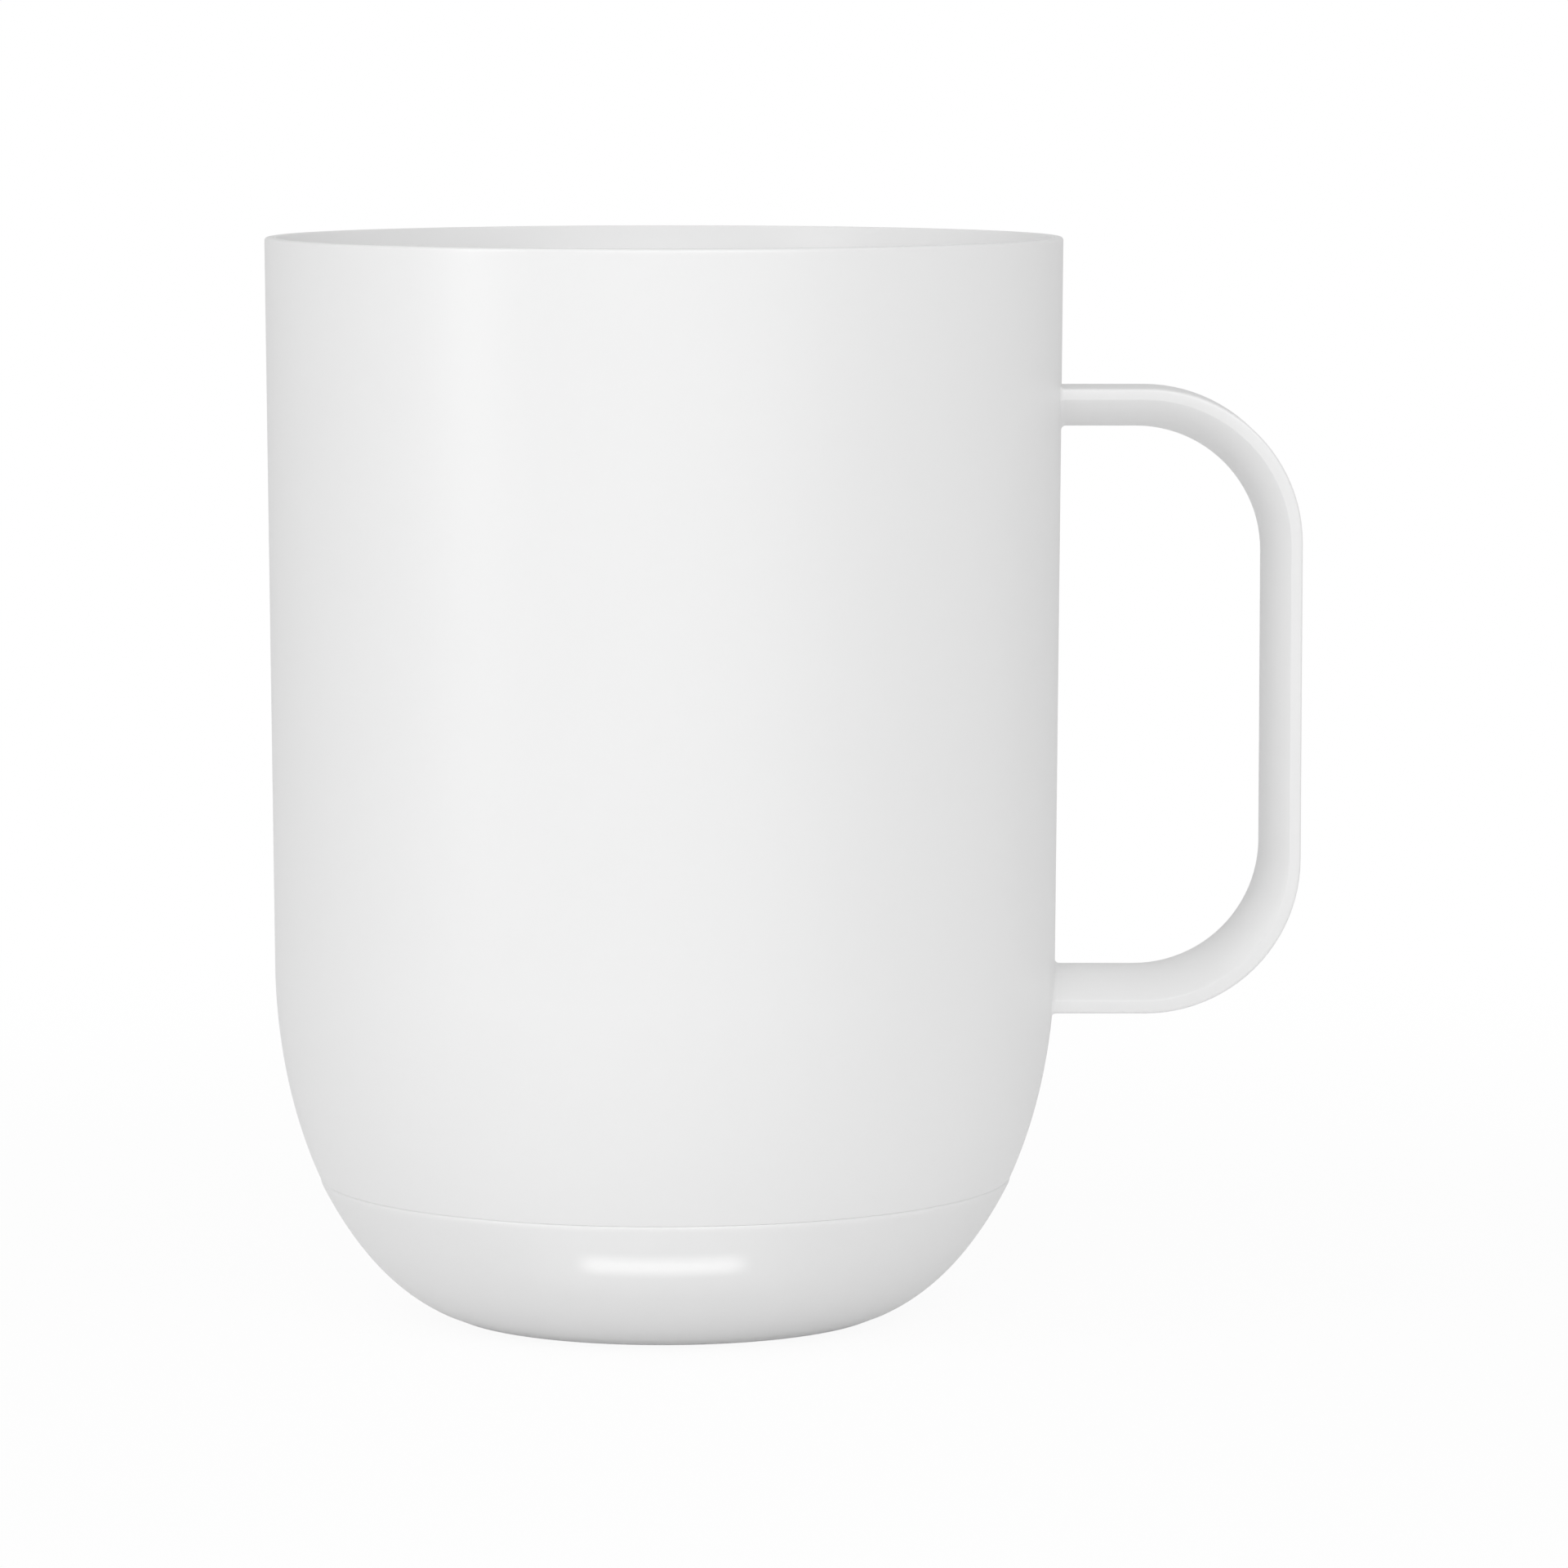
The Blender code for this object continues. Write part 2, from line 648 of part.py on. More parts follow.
def solid_mesh(thing, name):
    """Closed mesh of a curve object, its caps welded and its faces pointing out."""
    bpy.context.view_layer.update()
    shown = thing.evaluated_get(bpy.context.evaluated_depsgraph_get())
    mesh = bpy.data.meshes.new_from_object(shown)
    mesh.name = name
    mesh.materials.clear()
    work = bmesh.new()
    work.from_mesh(mesh)
    bmesh.ops.remove_doubles(work, verts=work.verts, dist=WELD_DISTANCE)
    bmesh.ops.recalc_face_normals(work, faces=work.faces)
    work.to_mesh(mesh)
    work.free()
    smooth(mesh)
    return mesh


def make_handle_seat(guides):
    """Cutter of the shell's shape that trims the handle's ends."""
    low = HANDLE_BOTTOM - HANDLE_THICKNESS
    high = HANDLE_TOP + HANDLE_THICKNESS
    outline = [(0, high), (side_radius(high) + CLEARANCE, high)]
    outline += [(radius, height) for radius, height in side_points(CURVE_HEIGHT, low, -CLEARANCE)]
    outline.append((0, low))
    return make_cutter(turned("handle_seat_cutter", outline, None, guides))


# Base housing, gasket and foot
def make_base_housing(group, guides):
    """Bowl-shaped lower cover with a rebate for the gasket, a foot groove and a bottom hole."""
    outline = [(REBATE_RADIUS, BASE_TOP)]
    outline.append((side_radius(BASE_TOP) - BASE_BEVEL, BASE_TOP))
    outline += side_points(BASE_TOP - BASE_BEVEL, FLOOR_BOTTOM + EDGE_ROUND, 0)
    outline.append((BASE_EDGE_RADIUS - EDGE_ROUND, FLOOR_BOTTOM))
    outline.append((GROOVE_OUTER, FLOOR_BOTTOM))
    outline.append((GROOVE_OUTER, GROOVE_TOP))
    outline.append((GROOVE_INNER, GROOVE_TOP))
    outline.append((GROOVE_INNER, FLOOR_BOTTOM))
    outline.append((FLOOR_HOLE, FLOOR_BOTTOM))
    outline.append((FLOOR_HOLE, FLOOR_TOP))
    outline += reversed(side_points(REBATE_FLOOR, FLOOR_TOP, BASE_WALL))
    outline.append((REBATE_RADIUS, REBATE_FLOOR))
    base = turned("base_housing", outline, white_plastic("base_housing"), group)
    cut(base, [make_base_screw_cutter(index, angle, guides) for index, angle in enumerate(LEG_ANGLES)])
    return base


def make_base_screw_cutter(index, angle, guides):
    """Stepped hole for a base screw and its head."""
    head_top = GROOVE_TOP + SCREW_HEAD_HEIGHT + CLEARANCE
    outline = [(0, FLOOR_TOP + OVERRUN), (SCREW_HOLE, FLOOR_TOP + OVERRUN), (SCREW_HOLE, head_top)]
    outline += [(HEAD_HOLE, head_top), (HEAD_HOLE, GROOVE_TOP - OVERRUN), (0, GROOVE_TOP - OVERRUN)]
    name = f"base_screw_cutter_{index + 1}"
    place = on_circle(LEG_CIRCLE, angle)
    cutter = turned(name, outline, None, guides, SCREW_STEPS, place)
    cutter.rotation_euler = (0, 0, math.pi / SCREW_STEPS)
    return make_cutter(cutter)


def ring(name, inner, outer, low, high, material, group, steps=ROUND_STEPS):
    """Flat ring."""
    outline = [(inner, high), (outer, high), (outer, low), (inner, low)]
    return turned(name, outline, material, group, steps)


def make_seam_gasket(group):
    """Square rubber ring behind the seam."""
    ring("seam_gasket", GASKET_INNER, GASKET_OUTER, FRAME_BOTTOM, SEAM_HEIGHT,
         soft_rubber("seam_gasket"), group)


def make_foot_ring(group):
    """Non-slip ring that the mug stands on."""
    ring("foot_ring", FOOT_INNER, FOOT_OUTER, 0, FOOT_THICKNESS, soft_rubber("foot_ring"), group)


# Bottom cover and charging contacts
def contact_span(shares):
    """Inner and outer radius of a contact ring, between the button and the cover's edge."""
    span = COVER_RADIUS - BUTTON_FLANGE_RADIUS
    return [BUTTON_FLANGE_RADIUS + span * share for share in shares]


def make_bottom_cover(group, guides):
    """Flanged disc that holds the contact rings and guides the button."""
    outline = [(BUTTON_BORE, COVER_TOP), (COVER_FLANGE_RADIUS, COVER_TOP)]
    outline += [(COVER_FLANGE_RADIUS, COVER_FLANGE_BOTTOM), (COVER_RADIUS, COVER_FLANGE_BOTTOM)]
    outline.append((COVER_RADIUS, COVER_BOTTOM))
    for shares in (CONTACT_OUTER_SHARES, CONTACT_INNER_SHARES):
        inner, outer = contact_span(shares)
        outline += groove(inner - CLEARANCE, outer + CLEARANCE)
    outline.append((BUTTON_BORE, COVER_BOTTOM))
    cover = turned("bottom_cover", outline, white_plastic("bottom_cover"), group, MIDDLE_STEPS)
    cut(cover, [make_pin_cutter(side, guides) for side in PIN_ANGLES])


def groove(inner, outer):
    """Outline of a groove for a contact ring, from its outer wall to its inner one."""
    top = CONTACT_TOP + CLEARANCE
    return [(outer, COVER_BOTTOM), (outer, top), (inner, top), (inner, COVER_BOTTOM)]


def pin_place(side):
    """Where a contact pin stands, over the middle of its ring."""
    shares = CONTACT_INNER_SHARES if side == "inner" else CONTACT_OUTER_SHARES
    inner, outer = contact_span(shares)
    return on_circle((inner + outer) / 2, PIN_ANGLES[side])


def make_pin_cutter(side, guides):
    """Hole in the cover for a contact pin."""
    name = f"pin_cutter_{side}"
    return make_cutter(rod(name, PIN_RADIUS + CLEARANCE, CONTACT_TOP, COVER_TOP + OVERRUN,
                           pin_place(side), None, guides, SCREW_STEPS))


def make_contacts(group):
    """Two charging rings in the cover, each with a pin up to the board."""
    for side, shares in (("inner", CONTACT_INNER_SHARES), ("outer", CONTACT_OUTER_SHARES)):
        name = f"contact_ring_{side}"
        inner, outer = contact_span(shares)
        ring(name, inner, outer, CONTACT_BOTTOM, CONTACT_TOP, gold(name), group, MIDDLE_STEPS)
        name = f"contact_pin_{side}"
        rod(name, PIN_RADIUS, CONTACT_TOP + CLEARANCE, BOARD_BOTTOM - CLEARANCE,
            pin_place(side), gold(name), group, SCREW_STEPS)


# Power button and switch
def make_power_button(group):
    """Round button with a flange that keeps it in the cover and a post that meets the switch."""
    outline = [(0, POST_TOP), (POST_RADIUS, POST_TOP), (POST_RADIUS, BUTTON_FLANGE_TOP)]
    outline += [(BUTTON_FLANGE_RADIUS, BUTTON_FLANGE_TOP), (BUTTON_FLANGE_RADIUS, BUTTON_FLANGE_BOTTOM)]
    outline.append((BUTTON_RADIUS, BUTTON_FLANGE_BOTTOM))
    outline += arc((BUTTON_RADIUS - BUTTON_EDGE, BUTTON_BOTTOM + BUTTON_EDGE), BUTTON_EDGE, 0, -90, 2)
    outline.append((0, BUTTON_BOTTOM))
    turned("power_button", outline, white_plastic("power_button"), group, SMALL_STEPS)


def make_button_boot(group):
    """Rubber sleeve between the button and the board, which seals it and pushes it back."""
    ring("button_boot", BOOT_INNER, BOOT_OUTER, BUTTON_FLANGE_TOP + CLEARANCE, BOARD_BOTTOM - CLEARANCE,
         soft_rubber("button_boot"), group, SMALL_STEPS)


def make_switch(group, guides):
    """Tactile switch under the board: a square body with a round plunger in its bore."""
    middle = (SWITCH_BOTTOM + SWITCH_TOP) / 2
    body = block("switch_body", (SWITCH_SIDE, SWITCH_SIDE, SWITCH_HEIGHT), (0, 0, middle),
                 black_plastic("switch_body"), group)
    bore = rod("switch_bore_cutter", PLUNGER_RADIUS + CLEARANCE, SWITCH_BOTTOM - OVERRUN,
               SWITCH_TOP + OVERRUN, (0, 0), None, guides)
    cut(body, [make_cutter(bore)])
    rod("switch_plunger", PLUNGER_RADIUS, PLUNGER_BOTTOM, PLUNGER_TOP, (0, 0),
        grey_plastic("switch_plunger"), group)


# Main board and its components
def board_place(shares):
    """Place on the board from shares of its radius."""
    return (BOARD_RADIUS * shares[0], BOARD_RADIUS * shares[1])


def make_main_board(group, guides):
    """Round board with holes for the frame's legs and the board screws."""
    board = rod("main_board", BOARD_RADIUS, BOARD_BOTTOM, BOARD_TOP, (0, 0),
                board_green("main_board"), group, MIDDLE_STEPS)
    cutters = []
    for index, angle in enumerate(LEG_ANGLES):
        cutters.append(rod(f"board_leg_cutter_{index + 1}", LEG_RADIUS + CLEARANCE,
                           BOARD_BOTTOM - OVERRUN, BOARD_TOP + OVERRUN,
                           on_circle(LEG_CIRCLE, angle), None, guides))
    for index, shares in enumerate(BOARD_SCREW_SHARES):
        cutters.append(rod(f"board_screw_cutter_{index + 1}", SCREW_HOLE,
                           BOARD_BOTTOM - OVERRUN, BOARD_TOP + OVERRUN,
                           board_place(shares), None, guides, SCREW_STEPS))
    cut(board, [make_cutter(cutter) for cutter in cutters])


def board_part(name, length, width, height, place, material, group):
    """Rectangular component on top of the board."""
    centre = (place[0], place[1], PART_BOTTOM + height / 2)
    return block(name, (length, width, height), centre, material, group, PART_BEVEL)


def make_chips(group):
    """Radio module, controller, charger, heater transistors and inductor."""
    board_part("radio_module", MODULE_LENGTH, MODULE_WIDTH, MODULE_HEIGHT,
               board_place(MODULE_PLACE_SHARES), steel("radio_module"), group)
    board_part("controller_chip", CONTROLLER_SIDE, CONTROLLER_SIDE, CHIP_HEIGHT,
               board_place(CONTROLLER_PLACE_SHARES), black_plastic("controller_chip"), group)
    board_part("charger_chip", CHARGER_SIDE, CHARGER_SIDE, CHIP_HEIGHT,
               board_place(CHARGER_PLACE_SHARES), black_plastic("charger_chip"), group)
    for index, shares in enumerate(TRANSISTOR_PLACE_SHARES):
        name = f"heater_transistor_{index + 1}"
        board_part(name, TRANSISTOR_LENGTH, TRANSISTOR_WIDTH, CHIP_HEIGHT,
                   board_place(shares), black_plastic(name), group)
    board_part("power_inductor", INDUCTOR_SIDE, INDUCTOR_SIDE, TALL_PART_HEIGHT,
               board_place(INDUCTOR_PLACE_SHARES), grey_plastic("power_inductor"), group)


def make_capacitors(group):
    """Three round capacitors."""
    for index, shares in enumerate(CAPACITOR_PLACE_SHARES):
        name = f"capacitor_{index + 1}"
        rod(name, CAPACITOR_RADIUS, PART_BOTTOM, PART_BOTTOM + TALL_PART_HEIGHT,
            board_place(shares), steel(name), group, SCREW_STEPS)


def make_connectors(group):
    """Battery, heater and sensor connectors, below the holes that their leads come through."""
    places = (("battery_connector", CONNECTOR_WIDTH, (-CONNECTOR_PLACE, 0)),
              ("heater_connector", CONNECTOR_WIDTH, (CONNECTOR_PLACE, 0)),
              ("sensor_connector", SENSOR_CONNECTOR_WIDTH,
               (SENSOR_CONNECTOR_PLACE, -SENSOR_CONNECTOR_DROP)))
    for name, width, place in places:
        board_part(name, CONNECTOR_LENGTH, width, TALL_PART_HEIGHT, place, white_plastic(name), group)


def make_light(group, guides):
    """Three side-facing LEDs at the board's front edge and the curved pipe before them."""
    for index, degrees in enumerate(LED_ANGLES):
        name = f"led_{index + 1}"
        place = on_circle(BOARD_RADIUS - LED_DEPTH / 2, degrees - 90)
        led = block(name, (LED_LENGTH, LED_DEPTH, LED_HEIGHT), (*place, LED_CENTRE),
                    white_plastic(name), group)
        led.rotation_euler = (0, 0, math.radians(degrees))
    inner = BOARD_RADIUS + CLEARANCE
    outline = [(inner, PIPE_TOP)] + side_points(PIPE_TOP, PIPE_BOTTOM, BASE_WALL + CLEARANCE, 2)
    outline.append((inner, PIPE_BOTTOM))
    pipe = turned("light_pipe", outline, finish("light_pipe_clear", (0.9, 0.9, 0.9), 0.2), group,
                  2 * ROUND_STEPS)
    combine(pipe, make_light_sector(guides), 'INTERSECT')


def make_light_sector(guides):
    """Wedge that keeps only the front of the light pipe's ring."""
    reach = RIM_RADIUS / math.cos(math.radians(PIPE_HALF_ANGLE))
    corners = [(0, 0)] + [on_circle(reach, -90 + side * PIPE_HALF_ANGLE) for side in (-1, 1)]
    outline = bpy.data.curves.new("light_sector", 'CURVE')
    outline.dimensions = '2D'
    outline.fill_mode = 'BOTH'
    outline.extrude = PIPE_HEIGHT
    spline = outline.splines.new('POLY')
    spline.points.add(len(corners) - 1)
    for spot, corner in zip(spline.points, corners):
        spot.co = (*corner, 0, 1)
    spline.use_cyclic_u = True
    flat = bpy.data.objects.new("light_sector_outline", outline)
    guides.objects.link(flat)
    mesh = solid_mesh(flat, "light_sector")
    bpy.data.objects.remove(flat, do_unlink=True)
    sector = make_cutter(add_object("light_sector", mesh, None, guides))
    sector.location = (0, 0, LED_CENTRE)
    return sector


# Inner frame and mounting ring
def make_inner_frame(group, guides):
    """Moulded frame: a plate with legs and bosses below it and a cradle for the cells on top."""
    frame = rod("inner_frame", FRAME_RADIUS, FRAME_BOTTOM, SEAM_HEIGHT, (0, 0),
                grey_plastic("inner_frame"), group, ROUND_STEPS)
    middle = (FRAME_BOTTOM + SEAM_HEIGHT) / 2
    join(frame, [make_saddle(middle, guides)] + make_end_walls(middle, guides))
    join(frame, make_legs(middle, guides))
    cut(frame, make_frame_holes(guides))
    cut(frame, make_lead_cutters(guides))
    return frame


def make_saddle(low, guides):
    """Block with two troughs that the cells lie in."""
    height = SADDLE_TOP - low
    size = (2 * WALL_INNER + END_WALL, 2 * CRADLE_HALF_WIDTH, height)
    saddle = block("saddle", size, (0, 0, low + height / 2), None, guides)
    for side in (-1, 1):
        place = (0, side * CELL_OFFSET, CELL_CENTRE)
        trough = bar(f"trough_cutter_{side}", CELL_RADIUS + CLEARANCE, 2 * WALL_OUTER + OVERRUN,
                     place, None, guides)
        cut(saddle, [make_cutter(trough)])
    return make_cutter(saddle)


def make_end_walls(low, guides):
    """Upright walls at the cells' ends, which also carry the insulation."""
    height = CELL_TOP - low
    walls = []
    for side in (-1, 1):
        centre = (side * (WALL_INNER + END_WALL / 2), 0, low + height / 2)
        size = (END_WALL, 2 * CRADLE_HALF_WIDTH, height)
        walls.append(make_cutter(block(f"end_wall_{side}", size, centre, None, guides)))
    return walls


def make_legs(high, guides):
    """Legs down to the base's floor and bosses down to the board."""
    legs = []
    for index, angle in enumerate(LEG_ANGLES):
        legs.append(rod(f"frame_leg_{index + 1}", LEG_RADIUS, FLOOR_TOP + CLEARANCE, high,
                        on_circle(LEG_CIRCLE, angle), None, guides))
    for index, shares in enumerate(BOARD_SCREW_SHARES):
        legs.append(rod(f"frame_boss_{index + 1}", BOSS_RADIUS, BOARD_TOP + CLEARANCE, high,
                        board_place(shares), None, guides))
    return [make_cutter(leg) for leg in legs]


def base_screw_tip():
    """Height of the base screws' tips."""
    return GROOVE_TOP + SCREW_HEAD_HEIGHT + BASE_SCREW_LENGTH


def board_screw_tip():
    """Height of the board screws' tips."""
    return BOARD_BOTTOM - CLEARANCE + BOARD_SCREW_LENGTH


def make_frame_holes(guides):
    """Pilot holes in the legs and bosses, and through holes for the frame screws."""
    holes = []
    for index, angle in enumerate(LEG_ANGLES):
        holes.append(rod(f"leg_hole_{index + 1}", SCREW_HOLE, FLOOR_TOP - OVERRUN,
                         base_screw_tip() + CLEARANCE, on_circle(LEG_CIRCLE, angle), None, guides,
                         SCREW_STEPS))
    for index, shares in enumerate(BOARD_SCREW_SHARES):
        holes.append(rod(f"boss_hole_{index + 1}", SCREW_HOLE, BOARD_TOP - OVERRUN,
                         board_screw_tip() + CLEARANCE, board_place(shares), None, guides,
                         SCREW_STEPS))
    for index, angle in enumerate(FRAME_SCREW_ANGLES):
        holes.append(rod(f"frame_hole_{index + 1}", SCREW_HOLE, FRAME_BOTTOM - OVERRUN,
                         RING_TOP + OVERRUN, on_circle(FRAME_SCREW_CIRCLE, angle), None, guides,
                         SCREW_STEPS))
    return [make_cutter(hole) for hole in holes]


def make_lead_cutters(guides):
    """Holes in the frame that the leads run through."""
    low = FRAME_BOTTOM - OVERRUN
    high = SEAM_HEIGHT + OVERRUN
    length = END_WALL + 2 * OVERRUN
    wall = WALL_INNER + END_WALL / 2
    sensor = (SENSOR_CONNECTOR_PLACE, -SENSOR_CONNECTOR_DROP)
    cutters = [rod("battery_lead_cutter", LEAD_HOLE, low, high, (-CONNECTOR_PLACE, 0), None, guides),
               rod("heater_lead_cutter", LEAD_HOLE, low, high, (CONNECTOR_PLACE, 0), None, guides),
               rod("sensor_lead_cutter", SENSOR_LEAD_HOLE, low, high, sensor, None, guides)]
    for name, height in (("cup", CUP_LEAD_HEIGHT), ("cell", CELL_SENSOR_HEIGHT)):
        cutters.append(bar(f"{name}_lead_wall_cutter", SENSOR_LEAD_RADIUS + CLEARANCE, length,
                           (wall, 0, height), None, guides, SCREW_STEPS))
    for side in (-1, 1):
        cutters.append(bar(f"tab_lead_wall_cutter_{side}", LEAD_RADIUS + CLEARANCE, length,
                           (-wall, side * TAB_LEAD_OFFSET, CELL_CENTRE), None, guides, SCREW_STEPS))
    return [make_cutter(cutter) for cutter in cutters]


def make_mounting_ring(group, guides):
    """Steel ring inside the shell's lower end, which the frame is screwed to."""
    piece = ring("mounting_ring", RING_INNER, RING_OUTER, RING_BOTTOM, RING_TOP,
                 steel("mounting_ring"), group)
    for index, angle in enumerate(FRAME_SCREW_ANGLES):
        hole = rod(f"ring_hole_{index + 1}", SCREW_HOLE, RING_BOTTOM - OVERRUN, RING_TOP + OVERRUN,
                   on_circle(FRAME_SCREW_CIRCLE, angle), None, guides, SCREW_STEPS)
        cut(piece, [make_cutter(hole)])


# Screws
def screw(name, place, head_bottom, length, group):
    """Screw that points up, with a dished drive in its head."""
    head_top = head_bottom + SCREW_HEAD_HEIGHT
    tip = head_top + length
    drive = SCREW_HEAD_RADIUS * SCREW_DRIVE_SHARE
    outline = [(0, tip), (SCREW_RADIUS, tip - SCREW_RADIUS), (SCREW_RADIUS, head_top)]
    outline += [(SCREW_HEAD_RADIUS, head_top), (SCREW_HEAD_RADIUS, head_bottom), (drive, head_bottom)]
    outline.append((0, head_bottom + SCREW_DRIVE_DEPTH))
    turned(name, outline, steel(name), group, SCREW_STEPS, place)


def make_screws(group):
    """Base screws into the legs, frame screws into the ring and board screws into the bosses."""
    for index, angle in enumerate(LEG_ANGLES):
        screw(f"base_screw_{index + 1}", on_circle(LEG_CIRCLE, angle), GROOVE_TOP,
              BASE_SCREW_LENGTH, group)
    head = FRAME_BOTTOM - CLEARANCE - SCREW_HEAD_HEIGHT
    for index, angle in enumerate(FRAME_SCREW_ANGLES):
        screw(f"frame_screw_{index + 1}", on_circle(FRAME_SCREW_CIRCLE, angle), head,
              FRAME_SCREW_LENGTH, group)
    head = BOARD_BOTTOM - CLEARANCE - SCREW_HEAD_HEIGHT
    for index, shares in enumerate(BOARD_SCREW_SHARES):
        screw(f"board_screw_{index + 1}", board_place(shares), head, BOARD_SCREW_LENGTH, group)


# Cells, tabs and the sensor between them
def make_cells(group):
    """Two lithium cells side by side, pointing opposite ways."""
    top = CELL_HALF - CELL_NUB_HEIGHT
    outline = [(0, CELL_HALF), (CELL_NUB_RADIUS, CELL_HALF), (CELL_NUB_RADIUS, top)]
    outline += [(CELL_RADIUS - CELL_EDGE, top), (CELL_RADIUS, top - CELL_EDGE)]
    outline += [(CELL_RADIUS, CELL_EDGE - CELL_HALF), (CELL_RADIUS - CELL_EDGE, -CELL_HALF)]
    outline.append((0, -CELL_HALF))
    for name, side in (("battery_cell_front", -1), ("battery_cell_rear", 1)):
        wrap = finish(f"{name}_wrap", (0.05, 0.20, 0.42), 0.35)
        cell = turned(name, outline, wrap, group, SMALL_STEPS)
        cell.location = (0, side * CELL_OFFSET, CELL_CENTRE)
        cell.rotation_euler = (0, side * math.pi / 2, 0)


def make_tabs(group):
    """Nickel link across the cells at one end, and a tab on each cell at the other."""
    middle = (TAB_INNER + TAB_OUTER) / 2
    link = (TAB_THICKNESS, 2 * CELL_OFFSET + TAB_LENGTH, TAB_HEIGHT)
    block("cell_link", link, (middle, 0, CELL_CENTRE), steel("cell_link"), group)
    for name, side in (("cell_tab_plus", -1), ("cell_tab_minus", 1)):
        centre = (-middle, side * CELL_OFFSET, CELL_CENTRE)
        block(name, (TAB_THICKNESS, TAB_LENGTH, TAB_HEIGHT), centre, steel(name), group)


def make_cell_sensor(group):
    """Thermistor that lies in the valley between the two cells."""
    centre = (CELL_SENSOR_PLACE, 0, CELL_SENSOR_HEIGHT)
    bar("battery_thermistor", CELL_SENSOR_RADIUS, CELL_SENSOR_LENGTH, centre,
        black_plastic("battery_thermistor"), group, SCREW_STEPS)


# Heater stack
def make_heater_stack(group, guides):
    """Heater film under the cup, the plate that presses it up and the insulation below."""
    hole = rod("stack_lead_cutter", LEAD_HOLE, INSULATION_BOTTOM - OVERRUN, PLATE_TOP + OVERRUN,
               (CONNECTOR_PLACE, 0), None, guides)
    slot = block("fuse_slot_cutter",
                 (FUSE_LENGTH + 2 * CLEARANCE, 2 * (FUSE_RADIUS + CLEARANCE), 2 * INSULATION_THICKNESS),
                 (0, FUSE_PLACE, FUSE_CENTRE), None, guides)
    make_cutter(hole)
    make_cutter(slot)
    pale_foam = finish("insulation_foam", (0.75, 0.72, 0.62), 0.90)
    insulation = ring("insulation_disc", SENSOR_HOLE, INSULATION_RADIUS, INSULATION_BOTTOM,
                      INSULATION_TOP, pale_foam, group, MIDDLE_STEPS)
    cut(insulation, [hole, slot])
    plate = ring("pressure_plate", SENSOR_HOLE, HEATER_RADIUS, PLATE_BOTTOM, PLATE_TOP,
                 steel("pressure_plate"), group, MIDDLE_STEPS)
    cut(plate, [hole])
    amber = finish("heater_film_amber", (0.55, 0.28, 0.06), 0.35)
    ring("heater_film", SENSOR_HOLE, HEATER_RADIUS, HEATER_BOTTOM, HEATER_TOP, amber, group,
         MIDDLE_STEPS)


def make_cup_sensors(group):
    """Thermistor against the cup's floor and the thermal fuse under the plate."""
    rod("cup_thermistor", SENSOR_RADIUS, SENSOR_BOTTOM, SENSOR_TOP, (0, 0),
        black_plastic("cup_thermistor"), group)
    bar("thermal_fuse", FUSE_RADIUS, FUSE_LENGTH, (0, FUSE_PLACE, FUSE_CENTRE),
        steel("thermal_fuse"), group, SCREW_STEPS)


# Leads
def lead_end():
    """Height where a lead meets its connector."""
    return PART_BOTTOM + TALL_PART_HEIGHT + CLEARANCE


def make_heater_leads(group):
    """Two leads from the heater film straight down, a little bowed, to their connector."""
    top = HEATER_BOTTOM - CLEARANCE
    low = lead_end()
    middle = (top + low) / 2
    bow = LEAD_SPACING
    for index, side in enumerate((-1, 1)):
        y = side * LEAD_SPACING
        points = [(CONNECTOR_PLACE, y, top), (CONNECTOR_PLACE, y, INSULATION_BOTTOM),
                  (CONNECTOR_PLACE + bow, y + side * bow, middle),
                  (CONNECTOR_PLACE, y, SEAM_HEIGHT), (CONNECTOR_PLACE, y, low)]
        lead(f"heater_lead_{index + 1}", points, LEAD_RADIUS, (0.60, 0.05, 0.04), group)


def make_battery_leads(group):
    """Leads from the cells' tabs through the end wall and down to the battery connector."""
    start = TAB_OUTER + CLEARANCE
    low = lead_end()
    turn = (WALL_OUTER + CONNECTOR_PLACE) / 2
    colours = {"plus": (0.60, 0.05, 0.04), "minus": (0.03, 0.03, 0.03)}
    for pole, side in (("plus", -1), ("minus", 1)):
        outer = side * TAB_LEAD_OFFSET
        inner = side * LEAD_SPACING
        points = [(-start, outer, CELL_CENTRE), (-WALL_OUTER, outer, CELL_CENTRE),
                  (-turn, (outer + inner) / 2, (CELL_CENTRE + RING_TOP) / 2),
                  (-CONNECTOR_PLACE, inner, RING_TOP), (-CONNECTOR_PLACE, inner, low)]
        lead(f"battery_lead_{pole}", points, LEAD_RADIUS, colours[pole], group)


def make_sensor_leads(group):
    """Leads from the two thermistors along the valley between the cells to their connector."""
    low = lead_end()
    x = SENSOR_CONNECTOR_PLACE
    runs = {"cup_sensor_lead": (CUP_LEAD_HEIGHT, -1), "battery_sensor_lead": (CELL_SENSOR_HEIGHT, 1)}
    starts = {"cup_sensor_lead": [(0, 0, SENSOR_BOTTOM - CLEARANCE),
                                  (CELL_SENSOR_LENGTH / 2, 0, CUP_LEAD_HEIGHT)],
              "battery_sensor_lead": [(CELL_SENSOR_PLACE + CELL_SENSOR_LENGTH / 2 + CLEARANCE, 0,
                                       CELL_SENSOR_HEIGHT)]}
    for name, (height, side) in runs.items():
        y = side * SENSOR_LEAD_SPACING - SENSOR_CONNECTOR_DROP
        points = starts[name] + [(WALL_INNER, 0, height), (WALL_OUTER, 0, height),
                                 (x, y / 2, (height + CELL_CENTRE) / 2),
                                 (x, y, RING_TOP), (x, y, low)]
        lead(name, points, SENSOR_LEAD_RADIUS, (0.75, 0.75, 0.72), group)


